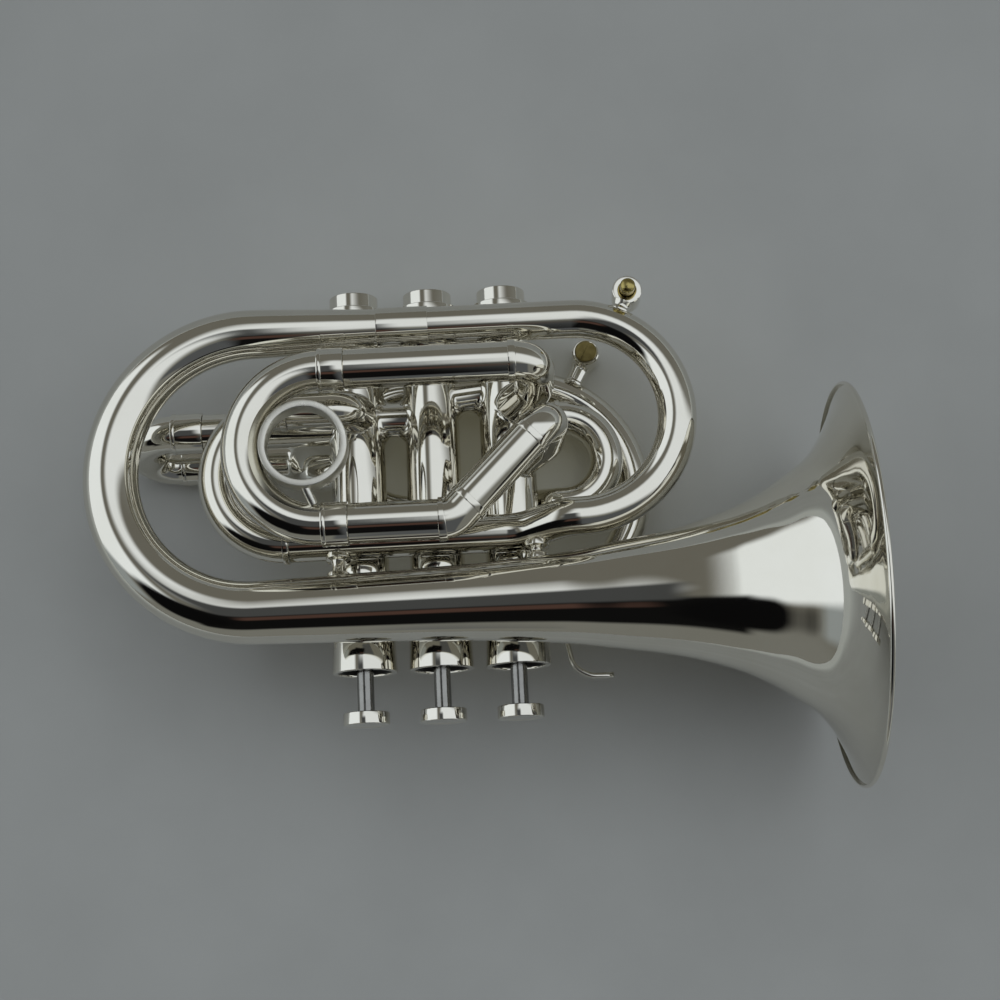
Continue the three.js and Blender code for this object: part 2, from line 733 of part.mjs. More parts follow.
const secondMouths = [SECOND_Y - SECOND_BEND, SECOND_Y + SECOND_BEND].map((y) => point(0, y, SECOND_MOUTH_Z));
["second_lower_sleeve", "second_upper_sleeve"].forEach((name, i) => {
  add(name, tubeInto(1, [secondMouths[i], point(0, secondMouths[i].y, 0)], SECOND_TUBE_RADIUS));
});
const pullBack = Z_AXIS.clone().negate();
add(
  "second_slide_crook",
  slideCrook({
    mouths: secondMouths.map((mouth) => along(mouth, pullBack, JOINT_GAP)),
    pull: pullBack,
    run: SECOND_MOUTH_Z - JOINT_GAP - SECOND_BOW_Z,
    radius: SECOND_TUBE_RADIUS,
    ferrule: SECOND_FERRULE_LENGTH,
    legs: SECOND_LEG_LENGTH,
  }),
);

// Far side

const smallBend = (SMALL_CROOK_UPPER_Y - SMALL_CROOK_LOWER_Y) / 2;
const smallRight = SMALL_CROOK_X + smallBend;
const smallStart = point(SMALL_END_X, LOOP_LOWER_Y, FAR_Z);
const loopEnd = along(smallStart, pullLeft, JOINT_GAP);
const smallSleeveEnd = along(smallStart, pullLeft, SMALL_FERRULE_LENGTH);
const smallSleeveRadius = SMALL_TUBE_RADIUS + JOINT_GAP + TUBE_WALL;
const smallSleeve = cut(
  tube([along(smallStart, X_AXIS, FERRULE_LENGTH), smallSleeveEnd], smallSleeveRadius),
  tube([loopEnd, along(smallSleeveEnd, pullLeft, JOINT_GAP)], SMALL_TUBE_RADIUS + JOINT_GAP),
  tube([along(smallStart, X_AXIS, 2 * FERRULE_LENGTH), along(loopEnd, pullLeft, JOINT_GAP)], boreOf(SMALL_TUBE_RADIUS)),
);
const smallRingEnd = point(SMALL_CROOK_X, SMALL_CROOK_UPPER_Y, SMALL_CROOK_Z);
add(
  "small_crook",
  join(
    tubeInto(
      2,
      [
        smallStart,
        [point(SMALL_SWAN_LEFT_X, LOOP_LOWER_Y, FAR_Z), SMALL_SWAN_BEND],
        [point(SMALL_SWAN_RIGHT_X, SMALL_CROOK_LOWER_Y, SMALL_CROOK_Z), SMALL_SWAN_BEND],
        [point(smallRight, SMALL_CROOK_LOWER_Y, SMALL_CROOK_Z), smallBend],
        [point(smallRight, SMALL_CROOK_UPPER_Y, SMALL_CROOK_Z), smallBend],
        [point(SMALL_KNEE_X, SMALL_CROOK_UPPER_Y, SMALL_CROOK_Z), SMALL_KNEE_BEND],
        point(valveX[2], SMALL_CROOK_UPPER_Y, 0),
      ],
      SMALL_TUBE_RADIUS,
    ),
    smallSleeve,
    band(along(smallRingEnd, pullLeft, FERRULE_LENGTH), smallRingEnd, SMALL_TUBE_RADIUS),
  ),
);

const loopBend = (FAR_UPPER_Y - LOOP_LOWER_Y) / 2;
const leadBowEnd = point(LEAD_BOW_X, FAR_UPPER_Y, FAR_Z);
const loopStart = along(leadBowEnd, pullLeft, JOINT_GAP);
const loopPath = [
  loopStart,
  [point(LOOP_X - loopBend, FAR_UPPER_Y, FAR_Z), loopBend],
  [point(LOOP_X - loopBend, LOOP_LOWER_Y, FAR_Z), loopBend],
  loopEnd,
];
add("rear_loop", tube(loopPath, SMALL_TUBE_RADIUS, boreOf(SMALL_TUBE_RADIUS)));

const leadBend = (FAR_UPPER_Y - LEAD_Y) / 2;
const leadStart = point(LEAD_START_X, LEAD_Y, FAR_Z);
const leadPath = [
  leadStart,
  [point(LEAD_BOW_X + leadBend, LEAD_Y, FAR_Z), leadBend],
  [point(LEAD_BOW_X + leadBend, FAR_UPPER_Y, FAR_Z), leadBend],
  leadBowEnd,
];
const leadNeckRadius = boreOf(LEAD_TUBE_RADIUS) + TUBE_WALL / 2;
const leadNeck = tube(
  [along(leadStart, X_AXIS, LEAD_NECK_LENGTH / 2), along(leadStart, pullLeft, LEAD_NECK_LENGTH)],
  leadNeckRadius,
  leadNeckRadius - 2 * TUBE_WALL,
);
add("leadpipe", join(tube(leadPath, LEAD_TUBE_RADIUS, boreOf(LEAD_TUBE_RADIUS)), leadNeck));

const receiverEndX = LEAD_START_X - JOINT_GAP;
const receiverLength = receiverEndX - RECEIVER_START_X;
const receiverSeat = leadNeckRadius + JOINT_GAP;
const receiverStep = receiverLength - LEAD_NECK_LENGTH;
add(
  "mouthpiece_receiver",
  turned(
    [
      [RECEIVER_MOUTH_RADIUS, 0],
      [RECEIVER_MOUTH_RADIUS, RECEIVER_RING_LENGTH],
      [RECEIVER_MOUTH_RADIUS - FERRULE_RISE, RECEIVER_RING_LENGTH + FERRULE_RISE],
      [RECEIVER_END_RADIUS, receiverLength],
      [receiverSeat, receiverLength],
      [receiverSeat, receiverStep],
      [RECEIVER_THROAT_RADIUS, receiverStep],
      [RECEIVER_BORE_RADIUS, 0],
    ],
    point(RECEIVER_START_X, LEAD_Y, FAR_Z),
    X_AXIS,
    TUBE_SIDES,
  ),
);

// Pinky hook

function strip(path, thickness) {
  const places = path.map(([x, y]) => new THREE.Vector2(x, y));
  const sideAt = (i) => {
    const before = places[Math.max(i - 1, 0)];
    const after = places[Math.min(i + 1, places.length - 1)];
    const way = after.clone().sub(before).normalize();
    return new THREE.Vector2(-way.y, way.x).multiplyScalar(thickness / 2);
  };
  const left = places.map((place, i) => place.clone().add(sideAt(i)));
  const right = places.map((place, i) => place.clone().sub(sideAt(i)));
  return new THREE.Shape([...right, ...left.reverse()]);
}

const hookGeometry = new THREE.ExtrudeGeometry(strip(HOOK_PATH, HOOK_THICKNESS), {
  depth: HOOK_WIDTH,
  bevelEnabled: false,
});
hookGeometry.translate(0, 0, FAR_Z - HOOK_WIDTH / 2);
add("pinky_hook", cut(solid(hookGeometry), roomFor(leadPath, LEAD_TUBE_RADIUS)));

// Braces

// A rod between two round surfaces with a foot on each. An end is its centre and the tube's path and radius.
function brace(from, to) {
  const rod = tube([from.centre, to.centre], BRACE_ROD_RADIUS, 0, SMALL_SIDES);
  const feet = tube([from.centre, to.centre], BRACE_FOOT_RADIUS, 0, SMALL_SIDES);
  const foot = ({ path, radius }) => feet.intersect(roomFor(path, radius + BRACE_FOOT_THICKNESS));
  const room = ({ path, radius }) => roomFor(path, radius);
  return cut(join(rod, foot(from), foot(to)), room(from), room(to));
}

// The bell's outer radius at a place on its stem.
function bellRadiusAt(x) {
  const behind = BELL_RIM_X - x;
  const next = BELL_OUTLINE.findIndex(([distance]) => distance > behind);
  const outline = next < 0 ? [BELL_OUTLINE.at(-1), [BELL_RIM_X - TAIL_X, TAIL_OUTLINE[0]]] : BELL_OUTLINE.slice(next - 1);
  const [[nearDistance, nearRadius], [farDistance, farRadius]] = outline;
  return nearRadius + ((farRadius - nearRadius) * (behind - nearDistance)) / (farDistance - nearDistance);
}

const onBell = (x) => ({
  centre: point(x, 0, BELL_Z),
  path: [point(x - BRACE_FOOT_RADIUS, 0, BELL_Z), point(x + BRACE_FOOT_RADIUS, 0, BELL_Z)],
  radius: bellRadiusAt(x + BRACE_FOOT_RADIUS),
});
const bellBraceRightX = BELL_RIM_X - BELL_BRACE_RIGHT_BEHIND;
const swanShare = THREE.MathUtils.clamp((bellBraceRightX - SWAN_LEFT_X) / (SWAN_RIGHT_X - SWAN_LEFT_X), 0, 1);
const swanCentre = point(
  bellBraceRightX,
  THREE.MathUtils.lerp(TUNING_LOWER_Y, BOW_LOWER_Y, swanShare),
  THREE.MathUtils.lerp(TUNING_Z, BELL_Z, swanShare),
);
add(
  "bell_brace_1",
  brace(onBell(BELL_BRACE_LEFT_X), {
    centre: point(BELL_BRACE_LEFT_X, TUNING_LOWER_Y, TUNING_Z),
    path: mainPath,
    radius: TUBE_RADIUS,
  }),
);
add("bell_brace_2", brace(onBell(bellBraceRightX), { centre: swanCentre, path: mainPath, radius: TUBE_RADIUS }));
const receiverAxis = [point(RECEIVER_START_X, LEAD_Y, FAR_Z), leadStart];
add(
  "leadpipe_brace",
  brace(onBell(LEAD_BRACE_X), {
    centre: point(LEAD_BRACE_X, LEAD_Y, FAR_Z),
    path: receiverAxis,
    radius: RECEIVER_MOUTH_RADIUS - FERRULE_RISE,
  }),
);

// Knuckles and finished casings

const knuckles = [
  [0, point(valveX[0], KNUCKLE_LEFT_Y, 0), point(valveX[1], KNUCKLE_LEFT_Y, 0)],
  [1, point(valveX[1], KNUCKLE_RIGHT_START_Y, 0), point(valveX[2], KNUCKLE_RIGHT_END_Y, 0)],
];
knuckles.forEach(([valve, from, to]) => {
  port(valve, to, from);
  port(valve + 1, from, to);
  const made = cut(
    tube([from, to], KNUCKLE_RADIUS, boreOf(KNUCKLE_RADIUS)),
    casingRoom[valve],
    casingRoom[valve + 1],
  );
  add("knuckle_" + (valve + 1) + "_" + (valve + 2), made);
});
casings.forEach((casing, i) => add("valve_casing_" + (i + 1), casing));

// Valves

const boreRadius = CASING_RADIUS - CASING_WALL;
const pistonRadius = boreRadius - JOINT_GAP;
const barrelRadius = pistonRadius - PISTON_BARREL_RELIEF;
const barrelBore = barrelRadius - PISTON_BARREL_WALL;
const footTopY = capUndersideY + JOINT_GAP;
const barrelTopY = footTopY + STEM_FOOT_LENGTH + JOINT_GAP;
const guideEndY = GUIDE_Y + GUIDE_THICKNESS;
const lugReach = boreRadius - GUIDE_LUG_GAP;
const skirtBore = CASING_RADIUS + JOINT_GAP;

// A bar across a valve along X, from one height to another.
function crossBar(width, fromY, toY, reach, centreX) {
  const geometry = new THREE.BoxGeometry(2 * reach, toY - fromY, width);
  geometry.translate(centreX, (fromY + toY) / 2, 0);
  return solid(geometry);
}

function passage(x, y, rise, turn) {
  const way = point(pistonRadius + JOINT_GAP, rise, 0).applyAxisAngle(Y_AXIS, turn);
  const middle = point(x, y, 0);
  return tube([middle.clone().sub(way), middle.clone().add(way)], PASSAGE_RADIUS, 0, SMALL_SIDES);
}

function piston(x) {
  const body = turned(
    [
      [0, PISTON_TOP_Y],
      [barrelBore, PISTON_TOP_Y],
      [barrelBore, barrelTopY + PISTON_PLATE],
      [STEM_RADIUS + JOINT_GAP, barrelTopY + PISTON_PLATE],
      [STEM_RADIUS + JOINT_GAP, barrelTopY],
      [barrelRadius, barrelTopY],
      [barrelRadius, PISTON_TOP_Y],
      [pistonRadius, PISTON_TOP_Y],
      [pistonRadius, PISTON_BOTTOM_Y],
      [0, PISTON_BOTTOM_Y],
    ],
    point(x, 0, 0),
    Y_AXIS,
  );
  const slotTop = GUIDE_Y - STROKE - JOINT_GAP;
  const slot = crossBar(GUIDE_LUG_WIDTH + 2 * JOINT_GAP, slotTop, guideEndY + JOINT_GAP, CASING_RADIUS, x);
  return cut(
    body,
    slot,
    passage(x, PASSAGE_Y, 0, 0),
    passage(x, PASSAGE_Y - PASSAGE_PITCH, PASSAGE_SLANT, Math.PI / 2),
    passage(x, PASSAGE_Y + PASSAGE_PITCH, -PASSAGE_SLANT, Math.PI / 2),
  );
}

function guide(x) {
  const disc = turned(
    [
      [GUIDE_HOLE_RADIUS, GUIDE_Y],
      [barrelBore - JOINT_GAP, GUIDE_Y],
      [barrelBore - JOINT_GAP, guideEndY],
      [GUIDE_HOLE_RADIUS, guideEndY],
    ],
    point(x, 0, 0),
    Y_AXIS,
    SMALL_SIDES,
  );
  const lugs = crossBar(GUIDE_LUG_WIDTH, GUIDE_Y, guideEndY, lugReach, x);
  const hole = tube([point(x, 0, 0), point(x, PISTON_TOP_Y, 0)], GUIDE_HOLE_RADIUS, 0, SMALL_SIDES);
  return cut(join(disc, lugs), hole);
}

// A coil spring about the valve's axis.
class CoilPath extends THREE.Curve {
  constructor(x, fromY, toY) {
    super();
    Object.assign(this, { x, fromY, toY });
  }
  getPoint(share, target = new THREE.Vector3()) {
    const angle = 2 * Math.PI * SPRING_TURNS * share;
    const y = THREE.MathUtils.lerp(this.fromY, this.toY, share);
    return target.set(this.x + SPRING_RADIUS * Math.cos(angle), y, SPRING_RADIUS * Math.sin(angle));
  }
}

function spring(x) {
  const fromY = barrelTopY + PISTON_PLATE + JOINT_GAP + SPRING_WIRE_RADIUS;
  const toY = GUIDE_Y - JOINT_GAP - SPRING_WIRE_RADIUS;
  const geometry = new THREE.ExtrudeGeometry(new THREE.Shape(circle(SPRING_WIRE_RADIUS, WIRE_SIDES)), {
    steps: SPRING_TURNS * SPRING_STEPS_A_TURN,
    bevelEnabled: false,
    extrudePath: new CoilPath(x, fromY, toY),
  });
  return solid(geometry);
}

const buttonUndersideY = BUTTON_FACE_Y + BUTTON_THICKNESS;
const socketEndY = buttonUndersideY - BUTTON_SOCKET_DEPTH;
const recessFloorY = TOP_CAP_FACE_Y + TOP_CAP_RECESS_DEPTH;
const capRecessRadius = TOP_CAP_FACE_RADIUS - TOP_CAP_RIM;
const noseStartY = BOTTOM_CAP_FACE_Y - BOTTOM_CAP_NOSE_LENGTH;
valveX.forEach((x, i) => {
  const number = i + 1;
  const base = point(x, 0, 0);
  add(
    "top_cap_" + number,
    turned(
      [
        [TOP_CAP_FACE_RADIUS - TOP_CAP_EDGE, TOP_CAP_FACE_Y],
        [TOP_CAP_FACE_RADIUS, TOP_CAP_FACE_Y + TOP_CAP_EDGE],
        [TOP_CAP_SKIRT_RADIUS, TOP_CAP_SKIRT_Y],
        [skirtBore, TOP_CAP_SKIRT_Y],
        [skirtBore, capUndersideY],
        [STEM_HOLE_RADIUS, capUndersideY],
        [STEM_HOLE_RADIUS, recessFloorY],
        [capRecessRadius, recessFloorY],
        [capRecessRadius, TOP_CAP_FACE_Y],
      ],
      base,
      Y_AXIS,
    ),
  );
  const feltTopY = recessFloorY - JOINT_GAP;
  add(
    "cap_felt_" + number,
    turned(
      [
        [STEM_HOLE_RADIUS, feltTopY - FELT_THICKNESS],
        [capRecessRadius - JOINT_GAP, feltTopY - FELT_THICKNESS],
        [capRecessRadius - JOINT_GAP, feltTopY],
        [STEM_HOLE_RADIUS, feltTopY],
      ],
      base,
      Y_AXIS,
      SMALL_SIDES,
    ),
    felt,
  );
  const capInsideY = CASING_BOTTOM_Y + JOINT_GAP;
  const noseBore = BOTTOM_CAP_NOSE_RADIUS - BOTTOM_CAP_WALL;
  add(
    "bottom_cap_" + number,
    turned(
      [
        [BOTTOM_CAP_SKIRT_RADIUS, BOTTOM_CAP_SKIRT_Y],
        [BOTTOM_CAP_SKIRT_RADIUS, noseStartY - BOTTOM_CAP_EDGE],
        [BOTTOM_CAP_SKIRT_RADIUS - BOTTOM_CAP_EDGE, noseStartY],
        [BOTTOM_CAP_NOSE_RADIUS, noseStartY],
        [BOTTOM_CAP_NOSE_RADIUS, BOTTOM_CAP_FACE_Y - BOTTOM_CAP_EDGE],
        [BOTTOM_CAP_NOSE_RADIUS - BOTTOM_CAP_EDGE, BOTTOM_CAP_FACE_Y],
        [BOTTOM_CAP_VENT_RADIUS, BOTTOM_CAP_FACE_Y],
        [BOTTOM_CAP_VENT_RADIUS, BOTTOM_CAP_FACE_Y - BOTTOM_CAP_WALL],
        [noseBore, BOTTOM_CAP_FACE_Y - BOTTOM_CAP_WALL],
        [noseBore, capInsideY],
        [skirtBore, capInsideY],
        [skirtBore, BOTTOM_CAP_SKIRT_Y],
      ],
      base,
      Y_AXIS,
    ),
  );
  add("piston_" + number, piston(x));
  add("valve_guide_" + number, guide(x), brass);
  add("valve_spring_" + number, spring(x), steel);
  add(
    "valve_stem_" + number,
    turned(
      [
        [0, socketEndY + JOINT_GAP],
        [STEM_RADIUS, socketEndY + JOINT_GAP],
        [STEM_RADIUS, footTopY],
        [STEM_FOOT_RADIUS, footTopY],
        [STEM_FOOT_RADIUS, footTopY + STEM_FOOT_LENGTH],
        [STEM_RADIUS, footTopY + STEM_FOOT_LENGTH],
        [STEM_RADIUS, barrelTopY + STEM_SPIGOT_LENGTH],
        [0, barrelTopY + STEM_SPIGOT_LENGTH],
      ],
      base,
      Y_AXIS,
      SMALL_SIDES,
    ),
  );
  add(
    "finger_button_" + number,
    turned(
      [
        [0, BUTTON_FACE_Y],
        [BUTTON_RADIUS - BUTTON_EDGE, BUTTON_FACE_Y],
        [BUTTON_RADIUS, BUTTON_FACE_Y + BUTTON_EDGE],
        [BUTTON_RADIUS, buttonUndersideY - BUTTON_EDGE],
        [BUTTON_RADIUS - BUTTON_EDGE, buttonUndersideY],
        [STEM_RADIUS + JOINT_GAP, buttonUndersideY],
        [STEM_RADIUS + JOINT_GAP, socketEndY],
        [0, socketEndY],
      ],
      base,
      Y_AXIS,
    ),
  );
});

// Water keys

// The middle of a key's body, which stands on the outside of a bow.
function keyPlace(bow, angle, reach) {
  const out = point(Math.cos(angle), Math.sin(angle), 0);
  return along(bow.centre, out, bow.bend + reach);
}

// A key with its nipple to the bow. Its body starts at the height `from` and its plunger looks towards `to`.
function waterKey(key, bow) {
  const length = Math.abs(key.to - key.from);
  const base = point(key.place.x, key.place.y, key.from);
  const way = Z_AXIS.clone().multiplyScalar(Math.sign(key.to - key.from));
  const body = turned(
    [
      [0, 0],
      [key.radius - KEY_EDGE, 0],
      [key.radius, KEY_EDGE],
      [key.radius, length - KEY_EDGE],
      [key.radius - KEY_EDGE, length],
      [KEY_BORE_RADIUS, length],
      [KEY_BORE_RADIUS, KEY_FLOOR],
      [0, KEY_FLOOR],
    ],
    base,
    way,
    TUBE_SIDES,
  );
  const inward = bow.centre.clone().sub(key.place).normalize();
  const inWall = along(key.place, inward, (key.radius + KEY_BORE_RADIUS) / 2);
  const nipple = cut(
    tube([inWall, along(bow.centre, inward, -bow.bend)], KEY_NIPPLE_RADIUS, 0, SMALL_SIDES),
    roomFor(bow.path, bow.radius),
  );
  const plungerFoot = KEY_FLOOR + JOINT_GAP + KEY_TRAVEL;
  const plunger = turned(
    [
      [0, plungerFoot],
      [KEY_PLUNGER_RADIUS, plungerFoot],
      [KEY_PLUNGER_RADIUS, length + key.proud],
      [KEY_PLUNGER_RADIUS * Math.SQRT1_2, length + key.proud + KEY_DOME * Math.SQRT1_2],
      [0, length + key.proud + KEY_DOME],
    ],
    base,
    way,
    SMALL_SIDES,
  );
  return { body: join(body, nipple), plunger };
}

const rightBow = {
  centre: point(BOW_X, topLegY - bowBend, BELL_Z),
  bend: bowBend,
  path: mainPath,
  radius: TUBE_RADIUS,
};
const farBow = {
  centre: point(LEAD_BOW_X, LEAD_Y + leadBend, FAR_Z),
  bend: leadBend,
  path: leadPath,
  radius: LEAD_TUBE_RADIUS,
};
const key1 = waterKey(
  {
    place: keyPlace(rightBow, KEY_1_ANGLE, KEY_1_REACH),
    radius: KEY_1_RADIUS,
    from: KEY_1_BACK_Z,
    to: KEY_1_FACE_Z,
    proud: KEY_1_PROUD,
  },
  rightBow,
);
add("water_key_body_1", key1.body);
add("water_key_plunger_1", key1.plunger, brass);

const key2Place = keyPlace(farBow, KEY_2_ANGLE, KEY_2_REACH);
const key2 = waterKey(
  { place: key2Place, radius: KEY_2_RADIUS, from: KEY_2_FACE_Z, to: KEY_2_BACK_Z, proud: KEY_2_PROUD },
  farBow,
);
const screwBase = point(key2Place.x, key2Place.y, KEY_2_FACE_Z);
const screwHole = tube(
  [along(screwBase, Z_AXIS, JOINT_GAP), along(screwBase, Z_AXIS, -KEY_SCREW_SHANK_LENGTH - JOINT_GAP)],
  KEY_SCREW_SHANK_RADIUS + JOINT_GAP,
  0,
  SMALL_SIDES,
);
add("water_key_body_2", cut(key2.body, screwHole));
add("water_key_plunger_2", key2.plunger, brass);
const screwSlot = new THREE.BoxGeometry(2 * KEY_SCREW_RADIUS, KEY_SCREW_SLOT_WIDTH, 2 * KEY_SCREW_SLOT_DEPTH);
screwSlot.rotateZ(KEY_SCREW_SLOT_TURN);
screwSlot.translate(screwBase.x, screwBase.y, KEY_2_FACE_Z + JOINT_GAP + KEY_SCREW_HEAD);
const screw = turned(
  [
    [0, -KEY_SCREW_SHANK_LENGTH],
    [KEY_SCREW_SHANK_RADIUS, -KEY_SCREW_SHANK_LENGTH],
    [KEY_SCREW_SHANK_RADIUS, JOINT_GAP],
    [KEY_SCREW_RADIUS, JOINT_GAP],
    [KEY_SCREW_RADIUS, JOINT_GAP + KEY_SCREW_HEAD],
    [0, JOINT_GAP + KEY_SCREW_HEAD],
  ],
  screwBase,
  Z_AXIS,
  SMALL_SIDES,
);
add("water_key_screw_2", cut(screw, solid(screwSlot)), brass);

// The resting pose: turned, then moved so that the floor is z = 0 and the box is centred on the origin.
trumpet.rotation.set(REST_TURN_X, REST_TURN_Y, 0);
const whole = new THREE.Group();
whole.add(trumpet);
whole.updateMatrixWorld(true);
const box = new THREE.Box3().setFromObject(whole, true);
trumpet.position.set(-(box.min.x + box.max.x) / 2, -(box.min.y + box.max.y) / 2, -box.min.z);

export default whole;
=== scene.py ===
"""A silver-plated pocket trumpet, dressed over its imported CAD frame.

The sizes are those of the CAD part, in millimetres, in the instrument's own frame: the valves stand along Y in
the plane z = 0 with valve 2 at x = 0, the bell's axis is the line y = 0, and its mouth looks to +X. Every mesh is
made there and then laid down by one matrix, REST, which turns and moves it to where the CAD trumpet lies.
"""

from math import atan2, cos, pi, radians, sin, sqrt, tan

import bmesh
import bpy
from mathutils import Matrix, Vector


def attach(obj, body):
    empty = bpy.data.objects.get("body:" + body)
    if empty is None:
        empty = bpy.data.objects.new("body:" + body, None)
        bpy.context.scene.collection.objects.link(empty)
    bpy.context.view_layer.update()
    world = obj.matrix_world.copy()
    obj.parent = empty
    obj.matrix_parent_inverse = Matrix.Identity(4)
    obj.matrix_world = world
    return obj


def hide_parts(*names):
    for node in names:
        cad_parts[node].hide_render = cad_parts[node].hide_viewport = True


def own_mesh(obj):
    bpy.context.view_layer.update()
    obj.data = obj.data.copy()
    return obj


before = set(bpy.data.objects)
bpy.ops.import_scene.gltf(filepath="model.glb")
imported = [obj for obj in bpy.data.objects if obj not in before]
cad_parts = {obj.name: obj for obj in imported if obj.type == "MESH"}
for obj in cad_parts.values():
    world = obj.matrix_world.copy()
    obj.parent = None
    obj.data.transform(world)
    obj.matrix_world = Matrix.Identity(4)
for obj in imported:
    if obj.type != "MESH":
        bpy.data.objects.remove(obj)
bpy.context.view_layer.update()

# Sizes that several pieces share, in millimetres. A piece's own sizes stand with it.

MM_PER_METRE = 1000

# The CAD solids stand GAP apart. Here a ferrule reaches JOINT over a soldered joint, and slides close to SLIDE_GAP.
GAP = 0.3
JOINT = 0.5
SLIDE_GAP = 0.14

# Tubes, by their outer radius
TUBE = 6.35
THIRD_TUBE = 6.5
SECOND_TUBE = 5.6
LEAD_TUBE = 5.85
SMALL_TUBE = 5.6
TUBE_WALL = 0.55
LEG_WALL = 0.5

# Ferrules, and the bead at a ferrule's end: they rise off the tube and sink into it. A slide's ferrule holds its
# legs by LEG_GRIP.
FERRULE_RISE = 0.55
FERRULE_LENGTH = 1.6
FERRULE_SINK = 0.2
BEAD_RISE = 0.76
BEAD_LENGTH = 1.5
BEAD_STEPS = 10
LEG_GRIP = 0.3

# The rounding of a tube's ends, outside and inside
EDGE = 0.15
SOFT_EDGE = 0.25

# How far a soldered end sinks into what it is soldered to, and the fillet of solder where a tube meets a casing:
# its rise off the casing, and how far it swells past the tube
SUNK = 0.02
FILLET = [(0.9, 0), (0.5, 0.12), (0.16, 0.4), (-SUNK, 0.9)]

PITCH = 25.4
VALVES = (-PITCH, 0, PITCH)
CASING = 9.3
CASING_BORE = 8.4
CASING_TOP = -10.4
CASING_BOTTOM = 105

# Directions: forward is towards the photograph's camera, and down is the way the valves go
TO_LEFT = (-1, 0, 0)
TO_RIGHT = (1, 0, 0)
DOWN = (0, 1, 0)
FORWARD = (0, 0, 1)
BACKWARD = (0, 0, -1)

# How finely round shapes are cut, and the angle past which an edge is sharp
ARC_STEP = radians(4)
SIDES = 48
TURNED_SIDES = 64
BELL_SIDES = 128
SHARP = radians(32)

# A run or a bend smaller than TINY is none, a ring nearer than CLEAR to another isn't needed, and places along a
# path that differ by SAME_PLACE are one
TINY = 1e-4
CLEAR = 0.01
SAME_PLACE = 1e-6

# In metres: vertices closer than DOUBLE are one, and an edge shorter than NO_LENGTH is none
DOUBLE = 1e-7
NO_LENGTH = 1e-8


# The instrument's frame laid down as the CAD trumpet lies

REST_TURN_X = -0.2581
REST_TURN_Y = 0.0051
TURN = (Matrix.Rotation(REST_TURN_X, 4, "X") @ Matrix.Rotation(REST_TURN_Y, 4, "Y")).to_3x3()


def rest_matrix():
    """The turn, with the shift that brings valve 2's casing to where its CAD solid is."""
    places = [TURN.transposed() @ v.co for v in bpy.data.objects["valve_casing_2"].data.vertices]
    low = Vector([min(p[i] for p in places) for i in range(3)])
    high = Vector([max(p[i] for p in places) for i in range(3)])
    home = (low + high) / 2 - Vector((0, (CASING_TOP + CASING_BOTTOM) / 2, 0)) / MM_PER_METRE
    return Matrix.Translation(TURN @ home) @ TURN.to_4x4() @ Matrix.Scale(1 / MM_PER_METRE, 4)


REST = rest_matrix()


def add(name, data):
    """A new object in the scene, at the origin."""
    made = bpy.data.objects.new(name, data)
    bpy.context.scene.collection.objects.link(made)
    return made


# Materials

def linear(colour):
    """An sRGB hex colour as a linear RGBA value."""
    parts = [int(colour[i:i + 2], 16) / 255 for i in (1, 3, 5)]
    return [c / 12.92 if c <= 0.04045 else ((c + 0.055) / 1.055) ** 2.4 for c in parts] + [1]


def node(tree, kind, inputs=None, **settings):
    """Adds a node with its settings. An input is linked from another node's output, or holds a constant."""
    made = tree.nodes.new(kind)
    for name, value in settings.items():
        setattr(made, name, value)
    for name, value in (inputs or {}).items():
        if isinstance(value, bpy.types.NodeSocket):
            tree.links.new(value, made.inputs[name])
        else:
            made.inputs[name].default_value = value
    return made


def surface(name, **constants):
    """A new material with constants on its shader's sockets: it, its nodes, its shader and Object coordinates."""
    made = bpy.data.materials.new(name)
    made.use_nodes = True
    shader = made.node_tree.nodes["Principled BSDF"]
    for socket, value in constants.items():
        shader.inputs[socket.replace("_", " ")].default_value = value
    return made, made.node_tree, shader, node(made.node_tree, "ShaderNodeTexCoord").outputs["Object"]


# The span of a noise node's output in which nearly all of it lies, and the height of the bumps, in millimetres
NOISE_LOW = 0.3
NOISE_HIGH = 0.7
BUFFING_BUMP = 0.1
NAP_BUMP = 0.2


def metal(name, colour, dull, gloss, cloud_mm, grain_mm, grain_depth):
    """A plated or bare metal.

    Clouds of wiping haze vary its roughness between the two values of `gloss`, and its colour from `colour` to
    `dull`. A fine ripple from buffing or turning stirs its surface.
    """
    made, tree, shader, place = surface(name, Metallic=1)
    cloud = node(tree, "ShaderNodeTexNoise", {"Vector": place, "Scale": MM_PER_METRE / cloud_mm, "Detail": 4})
    tint = node(
        tree, "ShaderNodeMix", {"Factor": cloud.outputs["Fac"], 6: linear(colour), 7: linear(dull)},
        data_type="RGBA")
    tree.links.new(tint.outputs[2], shader.inputs["Base Color"])
    haze = node(tree, "ShaderNodeMapRange", {
        "Value": cloud.outputs["Fac"], "From Min": NOISE_LOW, "From Max": NOISE_HIGH,
        "To Min": gloss[0], "To Max": gloss[1]})
    tree.links.new(haze.outputs["Result"], shader.inputs["Roughness"])
    ripple = node(tree, "ShaderNodeTexNoise", {"Vector": place, "Scale": MM_PER_METRE / grain_mm, "Detail": 2})
    bump = node(tree, "ShaderNodeBump", {
        "Height": ripple.outputs["Fac"], "Strength": grain_depth, "Distance": BUFFING_BUMP / MM_PER_METRE})
    tree.links.new(bump.outputs["Normal"], shader.inputs["Normal"])
    return made


# Silver plate over brass, buffed to a mirror: almost white, with the faint warm clouds of old handling.
SILVER = metal("silver_plate_buffed", "#ebe8df", "#dcd8cb", (0.025, 0.06), cloud_mm=24, grain_mm=5, grain_depth=0.04)
# The finger ring is plated over a blasted surface, which leaves it pale and satin.
SATIN = metal("silver_plate_satin", "#e6e4db", "#d6d3c8", (0.26, 0.34), cloud_mm=8, grain_mm=0.8, grain_depth=0.2)
